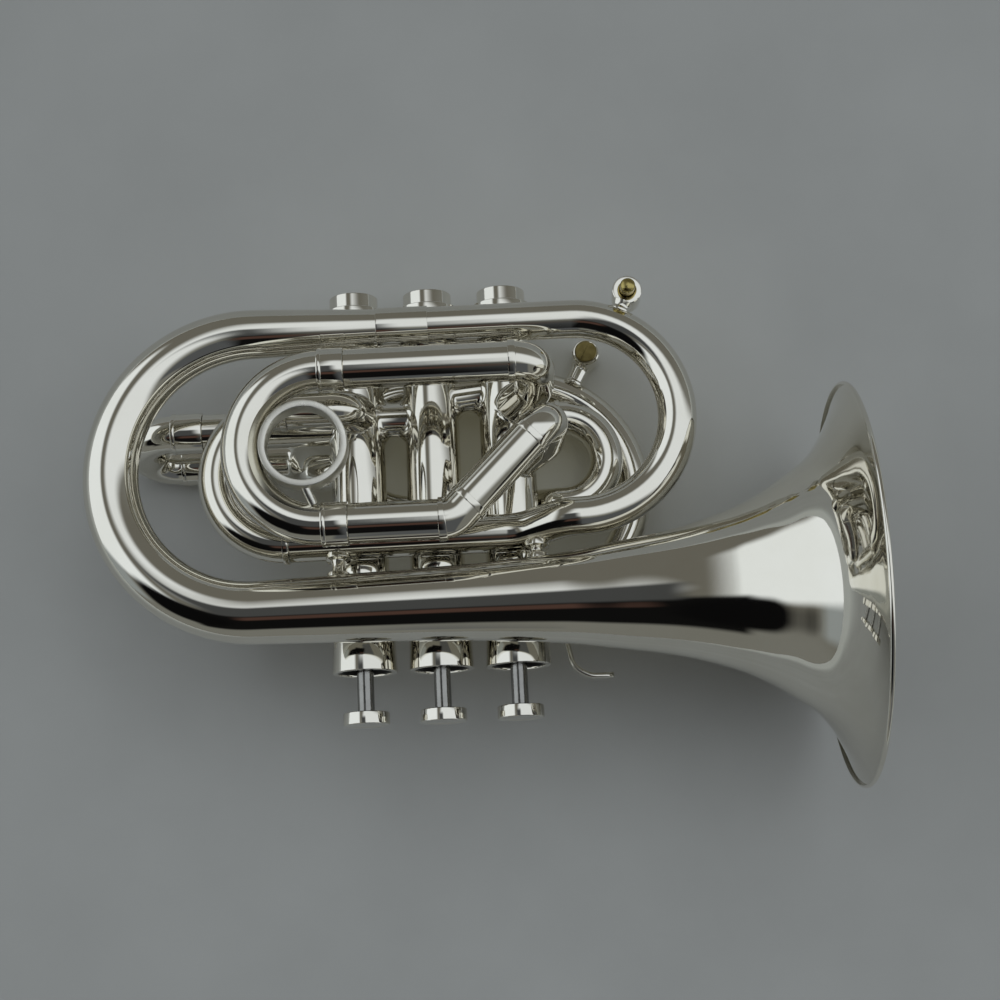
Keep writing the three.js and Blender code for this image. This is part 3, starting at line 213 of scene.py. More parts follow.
# The stems are ground nickel silver: grey beside the plate, with fine marks of the wheel.
GROUND = metal("nickel_silver_ground", "#a6a5a1", "#878682", (0.12, 0.2), cloud_mm=5, grain_mm=0.7, grain_depth=0.25)
# The inner legs of the slides are plated too, but their grease makes them a little duller.
GREASED = metal("silver_plate_greased", "#dedbd0", "#c9c4b5", (0.12, 0.2), cloud_mm=9, grain_mm=1.5, grain_depth=0.1)
# Bare brass turned on a lathe and darkened by age, as on the plungers: olive yellow, with tool marks.
BRASS = metal("brass_turned", "#c4b476", "#9c8d54", (0.2, 0.3), cloud_mm=4, grain_mm=0.5, grain_depth=0.25)
# The screw's head has never been polished, and its brass has gone a dark olive.
DARK_BRASS = metal("brass_tarnished", "#8d8052", "#685c37", (0.3, 0.42), cloud_mm=2, grain_mm=0.4, grain_depth=0.35)
# Hard-drawn spring wire: grey and half bright.
WIRE = metal("spring_steel_drawn", "#a9aaab", "#8d8e90", (0.25, 0.4), cloud_mm=3, grain_mm=0.6, grain_depth=0.2)


def felt(nap_mm):
    """Pressed black wool felt: matt, with a short loose nap that catches light at the edge."""
    made, tree, shader, place = surface("wool_felt_pressed", Roughness=0.95, Sheen_Weight=0.4)
    nap = node(tree, "ShaderNodeTexNoise", {"Vector": place, "Scale": MM_PER_METRE / nap_mm, "Detail": 6})
    tint = node(
        tree, "ShaderNodeMix", {"Factor": nap.outputs["Fac"], 6: linear("#191816"), 7: linear("#2b2a27")},
        data_type="RGBA")
    tree.links.new(tint.outputs[2], shader.inputs["Base Color"])
    bump = node(tree, "ShaderNodeBump", {
        "Height": nap.outputs["Fac"], "Strength": 0.6, "Distance": NAP_BUMP / MM_PER_METRE})
    tree.links.new(bump.outputs["Normal"], shader.inputs["Normal"])
    return made


# The felts of the valves: black and soft, with no shine. The same black felt also lines the walls of the top caps'
# recesses, where it is painted shade that keeps each recess dark.
FELT = felt(nap_mm=0.5)


# Paths

# A path steeper than this towards the camera has no sideways direction of its own
STEEP = 0.9


class Route:
    """A path of straight runs and round bends through corners of (x, y, z) or (x, y, z, bend radius)."""

    def __init__(self, *corners):
        points = [Vector(c[:3]) for c in corners]
        bends = [c[3] if len(c) > 3 else 0 for c in corners]
        way = (points[1] - points[0]).normalized()
        side = way.orthogonal().normalized()
        if abs(way.dot(Vector(FORWARD))) < STEEP:
            side = way.cross(Vector(FORWARD)).normalized()
        here = points[0]
        self.runs = []
        self.length = 0
        for i in range(1, len(points)):
            last = i == len(points) - 1
            go = way if last else (points[i + 1] - points[i]).normalized()
            turn = 0 if last else way.angle(go)
            setback = bends[i] * tan(turn / 2)
            straight = (points[i] - here).dot(way) - setback
            self._add(straight, here, way, side, None, None)
            here = here + way * straight
            if turn > TINY:
                axis = way.cross(go).normalized()
                inward = axis.cross(way)
                centre = here + inward * bends[i]
                self._add(turn * bends[i], here, way, side, centre, axis)
                spin = Matrix.Rotation(turn, 3, axis)
                here = centre + spin @ (here - centre)
                way = spin @ way
                side = spin @ side

    def _add(self, length, start, way, side, centre, axis):
        if length > TINY:
            self.runs.append((self.length, length, start, way, side, centre, axis))
            self.length += length

    def at(self, s):
        """The place, the direction and the sideways vector at the distance s along the path."""
        run = next((r for r in self.runs if s <= r[0] + r[1] + SAME_PLACE), self.runs[-1])
        begin, _, start, way, side, centre, axis = run
        if centre is None:
            return start + way * (s - begin), way, side
        spin = Matrix.Rotation((s - begin) / (start - centre).length, 3, axis)
        return centre + spin @ (start - centre), spin @ way, spin @ side

    def breaks(self):
        """The distances at which a swept skin needs a ring."""
        marks = []
        for begin, length, start, _, _, centre, _ in self.runs:
            steps = 1 if centre is None else max(1, round(length / (start - centre).length / ARC_STEP))
            marks += [begin + length * k / steps for k in range(steps)]
        return marks + [self.length]


# A corner is rounded at these shares of its curve, and at most over this share of a side
ROUNDING_SHARES = (0, 0.3, 0.7, 1)
LONGEST_ROUNDING = 0.45


def soften(outline, size=SOFT_EDGE):
    """An outline of (distance, radius) with each corner off its axis rounded by up to `size`."""
    made = []
    for i, (s, r) in enumerate(outline):
        if r == 0:
            made.append((s, r))
            continue
        corner = Vector((s, r))
        ends = []
        for other in (outline[i - 1], outline[(i + 1) % len(outline)]):
            arm = Vector(other) - corner
            ends.append(corner + arm.normalized() * min(size, LONGEST_ROUNDING * arm.length))
        for share in ROUNDING_SHARES:
            place = ends[0] * (1 - share) ** 2 + corner * 2 * share * (1 - share) + ends[1] * share ** 2
            made.append((place.x, place.y))
    return made


# Meshes: each is a pair of lists, the vertices in the instrument's frame and the faces

def skin(rings):
    """The mesh over rings of the same count, of which the last joins the first."""
    count = len(rings[0])
    vertices = [v for ring in rings for v in ring]
    faces = []
    for i in range(len(rings)):
        here, there = i * count, ((i + 1) % len(rings)) * count
        for k in range(count):
            beside = (k + 1) % count
            faces.append((here + k, here + beside, there + beside, there + k))
    return vertices, faces


def sweep(route, outline, sides=SIDES):
    """A closed outline of (distance along the path, radius) swept round a path.

    An entry (None, radius, rise) lies that rise outside the casing at the path's end, so that a tube takes the
    casing's curve.
    """
    marks = route.breaks()
    near_casing = route.length - 1.5 * CASING
    full = []
    for i, entry in enumerate(outline):
        full.append(entry)
        after = outline[(i + 1) % len(outline)]
        if entry[0] is None and after[0] is None:
            continue
        a = near_casing if entry[0] is None else entry[0]
        b = near_casing if after[0] is None else after[0]
        low, high = min(a, b) + CLEAR, max(a, b) - CLEAR
        for m in sorted((m for m in marks if low < m < high), reverse=b < a):
            share = (m - a) / (b - a)
            full.append((m, entry[1] + (after[1] - entry[1]) * share))
    rings = []
    for distance, radius, *rise in full:
        where, way, side = route.at(route.length if distance is None else distance)
        up = way.cross(side)
        ring_points = []
        for k in range(sides):
            angle = 2 * pi * k / sides
            offset = (side * cos(angle) + up * sin(angle)) * radius
            if distance is None:
                offset -= way * casing_depth(offset, way, CASING + rise[0])
            ring_points.append(where + offset)
        rings.append(ring_points)
    return skin(rings)


def casing_depth(offset, way, radius):
    """How far back from a valve's axis a line beside it leaves the casing."""
    a = way.x ** 2 + way.z ** 2
    b = -(offset.x * way.x + offset.z * way.z)
    c = offset.x ** 2 + offset.z ** 2 - radius ** 2
    return (-b + sqrt(max(b * b - a * c, 0))) / a


def turned(outline, origin, way, sides=TURNED_SIDES, soft=SOFT_EDGE):
    """An outline of (height, radius) turned about a line."""
    way = Vector(way).normalized()
    low, high = min(h for h, _ in outline), max(h for h, _ in outline)
    start = Vector(origin) + way * low
    route = Route(tuple(start), tuple(start + way * (high - low)))
    return sweep(route, soften([(h - low, r) for h, r in outline], soft), sides)


def tube_outline(length, radius, valve=False, wall=TUBE_WALL):
    """The outline of a plain tube, or of one that is soldered into a casing with a small fillet."""
    bore = radius - wall
    start = [(SOFT_EDGE, bore), (0, bore + EDGE), (0, radius - EDGE), (EDGE, radius)]
    if valve:
        return start + [(None, radius + swell, rise) for rise, swell in FILLET] + [(None, bore, -SUNK)]
    return start + [
        (length - EDGE, radius), (length, radius - EDGE), (length, bore + EDGE), (length - SOFT_EDGE, bore)]


def tube(route, radius, valve=False, wall=TUBE_WALL):
    """A tube along a path, plain or soldered into a valve's casing at its end."""
    return sweep(route, tube_outline(route.length, radius, valve, wall))


def band(low, high, inner, outer):
    """The outline of a plain band from one distance or height to another."""
    return [(low, inner), (low, outer), (high, outer), (high, inner)]


def ring(route, start, length, radius, rise=FERRULE_RISE):
    """A band round a tube, with rounded edges. One that starts before its tube does covers the solder joint."""
    return sweep(route, soften(band(start, start + length, radius - FERRULE_SINK, radius + rise), EDGE))


def bead(route, start, length, radius, rise):
    """A half-round bead round a tube."""
    outline = [(start, radius - FERRULE_SINK)]
    for k in range(BEAD_STEPS + 1):
        angle = pi * k / BEAD_STEPS
        outline.append((start + length / 2 - length / 2 * cos(angle), radius + rise * sin(angle)))
    outline.append((start + length, radius - FERRULE_SINK))
    return sweep(route, outline)


def part(name, body, material, *meshes, replaced=()):
    """One object of several meshes, laid down where the CAD trumpet lies.

    Its doubles are merged, its faces turned outwards and its edges kept sharp where they are. It stands for the
    CAD nodes that it replaces.
    """
    vertices, faces = [], []
    for more_vertices, more_faces in meshes:
        base = len(vertices)
        vertices += more_vertices
        faces += [tuple(base + i for i in face) for face in more_faces]
    mesh = bpy.data.meshes.new(name)
    mesh.from_pydata([REST @ Vector(v) for v in vertices], [], faces)
    work = bmesh.new()
    work.from_mesh(mesh)
    bmesh.ops.remove_doubles(work, verts=work.verts, dist=DOUBLE)
    bmesh.ops.dissolve_degenerate(work, edges=work.edges, dist=NO_LENGTH)
    bmesh.ops.recalc_face_normals(work, faces=work.faces)
    for face in work.faces:
        face.smooth = True
    for edge in work.edges:
        edge.smooth = len(edge.link_faces) == 2 and edge.calc_face_angle(0) < SHARP
    work.to_mesh(mesh)
    work.free()
    mesh.materials.append(material)
    made = add(name, mesh)
    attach(made, body)
    if replaced:
        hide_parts(*replaced)
    return made


def fine(node_name, *meshes, body="trumpet", material=SILVER):
    """The smooth piece that stands for one CAD node."""
    return part(node_name + "_fine", body, material, *meshes, replaced=[node_name])


# Bell

BELL_END_X = -16.1
BELL_Z = 23
BELL_RIM_X = 133.1
BELL_WALL = 0.9
BELL_BEAD = 0.87

# The bell has a ring about every BELL_STEP, or COARSER times that over a stretch that is longer than LONG_STRETCH
BELL_STEP = 1.6
LONG_STRETCH = 60
COARSER = 4

# The bell's outer radius at distances back from the rim, and along the tail bow from the bell's side to its far end
BELL_OUTLINE = [
    (0, 64.25), (0.9, 61), (2, 57.8), (4, 53.4), (7, 48), (11.9, 41.5), (20.9, 35), (29, 30), (39, 25.5),
    (57, 20.3), (75, 17.2), (93, 14.6), (127, 12.2), (157, 11.2),
]
TAIL_OUTLINE = (10.25, 9.6, 9, 8.6, 8.15)
TAIL_X = -58
TAIL_BEND = 46.8
TOP_Y = 2 * TAIL_BEND

# The rim's bead starts and turns by these shares of a half turn
CURL_START = 1.05
CURL_TURN = 1.35
CURL_STEPS = 14


def smooth_line(marks, step):
    """A smooth rising or falling line through marks of (distance, radius), sampled about every step."""
    slopes = [(b[1] - a[1]) / (b[0] - a[0]) for a, b in zip(marks, marks[1:])]
    tangents = [slopes[0]]
    for a, b in zip(slopes, slopes[1:]):
        tangents.append(0 if a * b <= 0 else 2 * a * b / (a + b))
    tangents.append(slopes[-1])
    line = []
    for i, (a, b) in enumerate(zip(marks, marks[1:])):
        width = b[0] - a[0]
        steps = max(2, round(width / (step if width < LONG_STRETCH else COARSER * step)))
        for k in range(steps):
            t = k / steps
            line.append((
                a[0] + width * t,
                a[1] * (1 + 2 * t) * (1 - t) ** 2 + b[1] * t * t * (3 - 2 * t)
                + width * (tangents[i] * t * (1 - t) ** 2 - tangents[i + 1] * t * t * (1 - t)),
            ))
    return line + [marks[-1]]


def bell_mesh():
    """The bell with its tail bow, one shell from the main tube to the bead at the rim."""
    route = Route(
        (BELL_END_X, TOP_Y, BELL_Z),
        (TAIL_X - TAIL_BEND, TOP_Y, BELL_Z, TAIL_BEND),
        (TAIL_X - TAIL_BEND, 0, BELL_Z, TAIL_BEND),
        (BELL_RIM_X, 0, BELL_Z),
    )
    top = BELL_END_X - TAIL_X
    bow = pi * TAIL_BEND
    last = len(TAIL_OUTLINE) - 1
    marks = [(0, TUBE)]
    marks += [(top + bow * k / last, r) for k, r in enumerate(reversed(TAIL_OUTLINE))]
    marks += [(route.length - behind, r) for behind, r in reversed(BELL_OUTLINE)]
    outer = smooth_line(marks, BELL_STEP)
    inner = []
    for i, (s, r) in enumerate(outer):
        before, after = outer[max(i - 1, 0)], outer[min(i + 1, len(outer) - 1)]
        run = Vector((after[0] - before[0], after[1] - before[1])).normalized()
        wall = BELL_WALL if s > top + bow else TUBE_WALL
        inner.append((s + wall * run.y, r - wall * run.x))
    rim = outer[-1][1]
    curl = [pi * (CURL_START - CURL_TURN * k / CURL_STEPS) for k in range(CURL_STEPS + 1)]
    roll = [(route.length + BELL_BEAD * cos(a), rim + BELL_BEAD * sin(a)) for a in curl]
    return sweep(route, outer + roll + inner[::-1], BELL_SIDES)


fine("bell", bell_mesh())


# Main tube and tuning slide: the right bow, the S-bend down to the slide, and the slide's way into valve 1

BOW_X = 47.9
BOW_LOWER_Y = 26.6
BOW_BEND = (TOP_Y - BOW_LOWER_Y) / 2
S_START_X = 43
S_END_X = 28
S_BEND = 20
BELL_FERRULE_X = 0.5
BELL_FERRULE_RISE = 0.4
TUNING_Z = 16.5
TUNING_LOWER_Y = 23.5
TUNING_UPPER_Y = 68.5
TUNING_MOUTH_X = -47.3
TUNING_ELBOW_BEND = 8

main = Route(
    (BELL_END_X + GAP, TOP_Y, BELL_Z),
    (BOW_X + BOW_BEND, TOP_Y, BELL_Z, BOW_BEND),
    (BOW_X + BOW_BEND, BOW_LOWER_Y, BELL_Z, BOW_BEND),
    (S_START_X, BOW_LOWER_Y, BELL_Z, S_BEND),
    (S_END_X, TUNING_LOWER_Y, TUNING_Z, S_BEND),
    (TUNING_MOUTH_X, TUNING_LOWER_Y, TUNING_Z),
)
fine("main_tube", tube(main, TUBE),
     ring(main, -JOINT, BELL_FERRULE_X + JOINT - BELL_END_X, TUBE, BELL_FERRULE_RISE))

tuning = Route(
    (TUNING_MOUTH_X, TUNING_UPPER_Y, TUNING_Z),
    (-PITCH, TUNING_UPPER_Y, TUNING_Z, TUNING_ELBOW_BEND),
    (-PITCH, TUNING_UPPER_Y, 0),
)
fine("tuning_upper_sleeve", tube(tuning, TUBE, valve=True))


def crook(name, body, mouths, pull, radius, *, run, ferrule, legs, beaded=False):
    """A slide's U with its ferrules, and as a piece of their own the two greased legs that run in the sleeves.

    It reaches along `pull` from the sleeves' mouths. `run` is its straight length before the bend, and `ferrule`
    and `legs` are the lengths of those.
    """
    first, second = (Vector(m) + Vector(pull) * GAP for m in mouths)
    pull = Vector(pull)
    bend = (second - first).length / 2
    out = run + bend
    inset = ferrule / 2
    u = Route(
        tuple(first + pull * inset),
        (*(first + pull * out), bend),
        (*(second + pull * out), bend),
        tuple(second + pull * inset),
    )
    meshes = [tube(u, radius)]
    leg = radius - TUBE_WALL - GAP
    rim = radius + FERRULE_RISE
    leg_meshes = []
    for mouth in (first, second):
        line = Route(tuple(mouth), tuple(mouth + pull * ferrule))
        meshes.append(sweep(line, soften(band(SLIDE_GAP - GAP, ferrule, leg - LEG_GRIP, rim))))
        if beaded:
            meshes.append(bead(line, ferrule - BEAD_LENGTH, BEAD_LENGTH, rim, BEAD_RISE - FERRULE_RISE))
        inner = Route(tuple(mouth + pull * inset), tuple(mouth - pull * legs))
        leg_meshes.append(tube(inner, leg, wall=LEG_WALL))
    fine(name, *meshes, body=body)
    part(name + "_legs", body, GREASED, *leg_meshes)


crook(
    "tuning_slide_crook", "tuning_slide", [(TUNING_MOUTH_X, y, TUNING_Z) for y in (TUNING_LOWER_Y, TUNING_UPPER_Y)],
    TO_LEFT, TUBE, run=0.8, ferrule=1.9, legs=14)


# Third slide: its upper sleeve turns straight into valve 3, its lower one runs up a slant to the same valve

THIRD_Z = 38
THIRD_UPPER_Y = 75.4
THIRD_LOWER_Y = 24.5
THIRD_MOUTH_X = -26.2
THIRD_UPPER_END_X = 26.8
THIRD_LOWER_END_X = 2.4
THIRD_CORNER = (6.7, THIRD_LOWER_Y, THIRD_Z)
THIRD_RISE = 32.7
SLANT_START = 6.8
SLANT_END = 35.9
UPPER_PORT_Y = 68.2
LOWER_PORT_Y = 50


def on_slant(distance):
    """A place on the third slide's diagonal tube."""
    step = distance / sqrt(2)
    return THIRD_CORNER[0] + step, THIRD_CORNER[1] + step, THIRD_Z


# A tube whose path ends at z = 0, in the plane of the valves, is soldered into a casing
third_tubes = {
    "third_upper_sleeve": [(THIRD_MOUTH_X, THIRD_UPPER_Y, THIRD_Z), (THIRD_UPPER_END_X, THIRD_UPPER_Y, THIRD_Z)],
    "third_lower_sleeve": [(THIRD_MOUTH_X, THIRD_LOWER_Y, THIRD_Z), (THIRD_LOWER_END_X, THIRD_LOWER_Y, THIRD_Z)],
    "third_upper_elbow": [
        (THIRD_UPPER_END_X + GAP, THIRD_UPPER_Y, THIRD_Z),
        (35.2, THIRD_UPPER_Y, THIRD_Z, 7),
        (35.2, 71.5, 20, 12),
        (PITCH, UPPER_PORT_Y, 0),
    ],
    "third_lower_elbow": [
        (THIRD_LOWER_END_X + GAP, THIRD_LOWER_Y, THIRD_Z),
        (*THIRD_CORNER, 8),
        on_slant(SLANT_START - GAP),
    ],
    "third_diagonal_tube": [on_slant(SLANT_START), on_slant(SLANT_END)],
    "third_diagonal_elbow": [
        on_slant(SLANT_END + GAP),
        (THIRD_CORNER[0] + THIRD_RISE, THIRD_CORNER[1] + THIRD_RISE, THIRD_Z, 6.8),
        (37.4, 53.2, 18, 12),
        (PITCH, LOWER_PORT_Y, 0),
    ],
}
for name, corners in third_tubes.items():
    route = Route(*corners)
    meshes = [tube(route, THIRD_TUBE, valve=corners[-1][2] == 0)]
    if not name.endswith("sleeve"):
        meshes.append(ring(route, -JOINT, FERRULE_LENGTH + JOINT, THIRD_TUBE))
    fine(name, *meshes)

crook(
    "third_slide_crook", "third_slide", [(THIRD_MOUTH_X, y, THIRD_Z) for y in (THIRD_LOWER_Y, THIRD_UPPER_Y)],
    TO_LEFT, THIRD_TUBE, run=8.1, ferrule=8.3, legs=26, beaded=True)

# The finger ring stands on a strut, which runs from the middle of the ring's band to the crook below it
RING_CENTRE = (-39.4, 49.2, 39.5)
RING_BORE = 11.8
RING_RADIUS = 14.1
RING_DEPTH = 8
STRUT = 1.5
STRUT_TOP = 12.9
STRUT_FOOT_X = -34.5
STRUT_SINK = 0.8

strut_top = Vector((RING_CENTRE[0], RING_CENTRE[1] - STRUT_TOP, RING_CENTRE[2] + RING_DEPTH / 2))
strut_way = Vector((STRUT_FOOT_X, THIRD_LOWER_Y, THIRD_Z)) - strut_top
strut_length = strut_way.length - THIRD_TUBE - STRUT_SINK
fine(
    "finger_ring",
    turned(band(0, RING_DEPTH, RING_BORE, RING_RADIUS), RING_CENTRE, FORWARD, sides=96, soft=0.5),
    turned(band(0, strut_length, 0, STRUT), strut_top, strut_way, sides=24, soft=0.1),
    body="third_slide", material=SATIN,
)


# First and second slides

FIRST_MOUTH_X = -77.6
FIRST_NEAR_Y = 66.8
FIRST_FAR = (61.2, -22)
SECOND_Y = 60.4
SECOND_BEND = 6.6
SECOND_MOUTH_Z = -14.8

near = Route((FIRST_MOUTH_X, FIRST_NEAR_Y, 0), (-PITCH, FIRST_NEAR_Y, 0))
far = Route((FIRST_MOUTH_X, *FIRST_FAR), (-46, *FIRST_FAR, 8), (-40, 52, -4, 8), (-PITCH, 51, 0))
fine("first_near_sleeve", tube(near, TUBE, valve=True))
fine("first_far_sleeve", tube(far, TUBE, valve=True))
crook(
    "first_slide_crook", "first_slide", [(FIRST_MOUTH_X, FIRST_NEAR_Y, 0), (FIRST_MOUTH_X, *FIRST_FAR)],
    TO_LEFT, TUBE, run=10.7, ferrule=10.4, legs=24, beaded=True)

second_heights = (SECOND_Y - SECOND_BEND, SECOND_Y + SECOND_BEND)
for name, y in zip(("second_lower_sleeve", "second_upper_sleeve"), second_heights):
    fine(name, tube(Route((0, y, SECOND_MOUTH_Z), (0, y, 0)), SECOND_TUBE, valve=True))
crook(
    "second_slide_crook", "second_slide", [(0, y, SECOND_MOUTH_Z) for y in second_heights],
    BACKWARD, SECOND_TUBE, run=1.1, ferrule=1.1, legs=4.9)


# Far side: from valve 3 the small crook leads to the rear loop, whose upper end meets the leadpipe's bow

FAR_Z = -16.5
FAR_UPPER_Y = 82.5
LOOP_LOWER_Y = 39.6
LOOP_BEND = (FAR_UPPER_Y - LOOP_LOWER_Y) / 2
LOOP_X = -30.45
LOOP_END_X = 28
LEAD_Y = 4.5
LEAD_START_X = -37.7
LEAD_BOW_X = 29.3
LEAD_BEND = (FAR_UPPER_Y - LEAD_Y) / 2
RECEIVER_START_X = -67.2
CROOK_X = 59
CROOK_Z = -7
CROOK_LOWER_Y = 37.6
CROOK_BEND = 15.3
CROOK_FERRULE_X = 43.7
LOOP_SLEEVE = 6
LOOP_SLEEVE_RISE = 0.85

# The leadpipe's neck is a thinner tube that starts inside it and ends in the receiver's socket
NECK = 5.55
NECK_WALL = 1
NECK_OVERLAP = 3
NECK_LENGTH = 6

small = Route(
    (LOOP_END_X, LOOP_LOWER_Y, FAR_Z),
    (32, LOOP_LOWER_Y, FAR_Z, 6),
    (41, CROOK_LOWER_Y, CROOK_Z, 6),
    (CROOK_X, CROOK_LOWER_Y, CROOK_Z, CROOK_BEND),
    (CROOK_X, UPPER_PORT_Y, CROOK_Z, CROOK_BEND),
    (37, UPPER_PORT_Y, CROOK_Z, 8),
    (PITCH, UPPER_PORT_Y, 0),
)
loop = Route(
    (LEAD_BOW_X - GAP, FAR_UPPER_Y, FAR_Z),
    (LOOP_X, FAR_UPPER_Y, FAR_Z, LOOP_BEND),
    (LOOP_X, LOOP_LOWER_Y, FAR_Z, LOOP_BEND),
    (LOOP_END_X - GAP, LOOP_LOWER_Y, FAR_Z),
)
lead = Route(
    (LEAD_START_X, LEAD_Y, FAR_Z),
    (LEAD_BOW_X + LEAD_BEND, LEAD_Y, FAR_Z, LEAD_BEND),
    (LEAD_BOW_X + LEAD_BEND, FAR_UPPER_Y, FAR_Z, LEAD_BEND),
    (LEAD_BOW_X, FAR_UPPER_Y, FAR_Z),
)
sleeve = Route((LOOP_END_X + FERRULE_LENGTH, LOOP_LOWER_Y, FAR_Z), (LOOP_END_X - LOOP_SLEEVE, LOOP_LOWER_Y, FAR_Z))
collar = Route((CROOK_FERRULE_X, UPPER_PORT_Y, CROOK_Z), (CROOK_FERRULE_X - FERRULE_LENGTH, UPPER_PORT_Y, CROOK_Z))
neck = Route((LEAD_START_X + NECK_OVERLAP, LEAD_Y, FAR_Z), (LEAD_START_X - NECK_LENGTH, LEAD_Y, FAR_Z))
fine("small_crook", tube(small, SMALL_TUBE, valve=True),
     ring(sleeve, 0, LOOP_SLEEVE + FERRULE_LENGTH, SMALL_TUBE, LOOP_SLEEVE_RISE),
     ring(collar, 0, FERRULE_LENGTH, SMALL_TUBE))
fine("rear_loop", tube(loop, SMALL_TUBE))
fine("leadpipe", tube(lead, LEAD_TUBE), tube(neck, NECK, wall=NECK_WALL))

# The receiver's outline has a thick lip at its mouth and a bore that narrows round the leadpipe's neck
receiver_length = LEAD_START_X - GAP - RECEIVER_START_X
receiver_outline = [
    (0, 5), (0, 7.5), (4, 7.5), (4.5, 6.95), (receiver_length, 6.45), (receiver_length, NECK + GAP),
    (receiver_length - NECK_LENGTH, NECK + GAP), (receiver_length - NECK_LENGTH, 4.7),
]
fine("mouthpiece_receiver",
     turned(receiver_outline, (RECEIVER_START_X, LEAD_Y, FAR_Z), TO_RIGHT, soft=0.4))

# The hook for the little finger: the line of its strip in the plane of the leadpipe's bow. Powers under 1 of the
# sine and cosine make its section a flat oval, and its last rings narrow to a round tip.
HOOK_LINE = [(40.9, 1.3), (41.6, -4), (42.6, -10.4), (44.3, -16.7), (48.9, -20), (53, -20.6), (57.7, -20.4)]
HOOK_HALF_WIDTH = 3.5
HOOK_HALF_THICKNESS = 1
FLATNESS = 0.35
EDGE_FULLNESS = 0.5
HOOK_STEPS = 8
HOOK_SIDES = 24
TIP_STEPS = 7
TIP_RUN = 6.5
TIP_LEAST = 0.02


def hook_mesh():
    """A bent strip with rounded edges and a round tip, soldered to the leadpipe's bow."""
    marks = [Vector(p) for p in HOOK_LINE]
    line = []
    for i in range(len(marks) - 1):
        a, b = marks[i], marks[i + 1]
        before = marks[i - 1] if i else a
        after = marks[i + 2] if i + 2 < len(marks) else b
        for k in range(HOOK_STEPS):
            t = k / HOOK_STEPS
            line.append(0.5 * (2 * a + (b - before) * t + (2 * before - 5 * a + 4 * b - after) * t * t
                               + (3 * a - before - 3 * b + after) * t ** 3))
    line.append(marks[-1])
    rings = []
    for i, place in enumerate(line):
        way = (line[min(i + 1, len(line) - 1)] - line[max(i - 1, 0)]).normalized()
        out = Vector((-way.y, way.x))
        past = max(0, (i - len(line) + TIP_STEPS) / TIP_RUN)
        tip = min(1, sqrt(max(TIP_LEAST, 1 - past ** 2)))
        ring_points = []
        for k in range(HOOK_SIDES):
            c, s = cos(2 * pi * k / HOOK_SIDES), sin(2 * pi * k / HOOK_SIDES)
            across = HOOK_HALF_WIDTH * tip * abs(c) ** FLATNESS * (1 if c >= 0 else -1)
            deep = HOOK_HALF_THICKNESS * abs(s) ** EDGE_FULLNESS * (1 if s >= 0 else -1)
            flat = place + out * deep
            ring_points.append(Vector((flat.x, flat.y, FAR_Z + across)))
        rings.append(ring_points)
    vertices, faces = skin(rings)
    faces = faces[:-HOOK_SIDES]
    first_end = tuple(range(HOOK_SIDES))
    last_end = tuple(reversed(range(len(vertices) - HOOK_SIDES, len(vertices))))
    return vertices, faces + [first_end, last_end]


fine("pinky_hook", hook_mesh())


# Braces

BRACE_SINK = 0.9
SHORT_BRACE = 9
BRACE_MIDDLE = 2.1

# A brace's foot: the distance from its end and the radius there. A short brace leaves out the slim part.
LONG_FOOT = [(0, 0), (0, 4.2), (1.7, 4.1), (2.2, 3.1), (3, 2.2), (4, 2)]
SHORT_FOOT = [(0, 0), (0, 4.2), (1.7, 4.1), (2.3, 2.6)]


def brace_mesh(start, end, start_radius, end_radius):
    """A rod between two tubes, widening to a round foot on each."""
    between = Vector(end) - Vector(start)
    a, b = start_radius - BRACE_SINK, between.length - end_radius + BRACE_SINK
    short = b - a < SHORT_BRACE
    foot = SHORT_FOOT if short else LONG_FOOT
    middle = [((a + b) / 2, BRACE_MIDDLE)] if short else []
    outline = [(a + h, r) for h, r in foot] + middle + [(b - h, r) for h, r in reversed(foot)]
    return turned(outline, start, between.normalized(), sides=40, soft=0.2)


BRACE_1_X = -31.5
BRACE_2_X = 33
LEAD_BRACE_X = -50
fine("bell_brace_1", brace_mesh(
    (BRACE_1_X, 0, BELL_Z), (BRACE_1_X, TUNING_LOWER_Y, TUNING_Z), start_radius=11, end_radius=TUBE))
# The second brace meets the main tube on its S-bend, part of the way up
up_bend = (BRACE_2_X - S_END_X) / (S_START_X - S_END_X)
on_bend = (BRACE_2_X, TUNING_LOWER_Y + (BOW_LOWER_Y - TUNING_LOWER_Y) * up_bend,
           TUNING_Z + (BELL_Z - TUNING_Z) * up_bend)
fine("bell_brace_2", brace_mesh((BRACE_2_X, 0, BELL_Z), on_bend, start_radius=14.1, end_radius=TUBE))
fine("leadpipe_brace", brace_mesh(
    (LEAD_BRACE_X, 0, BELL_Z), (LEAD_BRACE_X, LEAD_Y, FAR_Z), start_radius=10.5, end_radius=6.7))


# Knuckles

KNUCKLE = 6
KNUCKLE_WALL = 0.55

# The fillet's radius in front and behind, and what it gains above and below
LEAST_FILLET = 0.9
MORE_FILLET = 2.3
FILLET_STEPS = 7


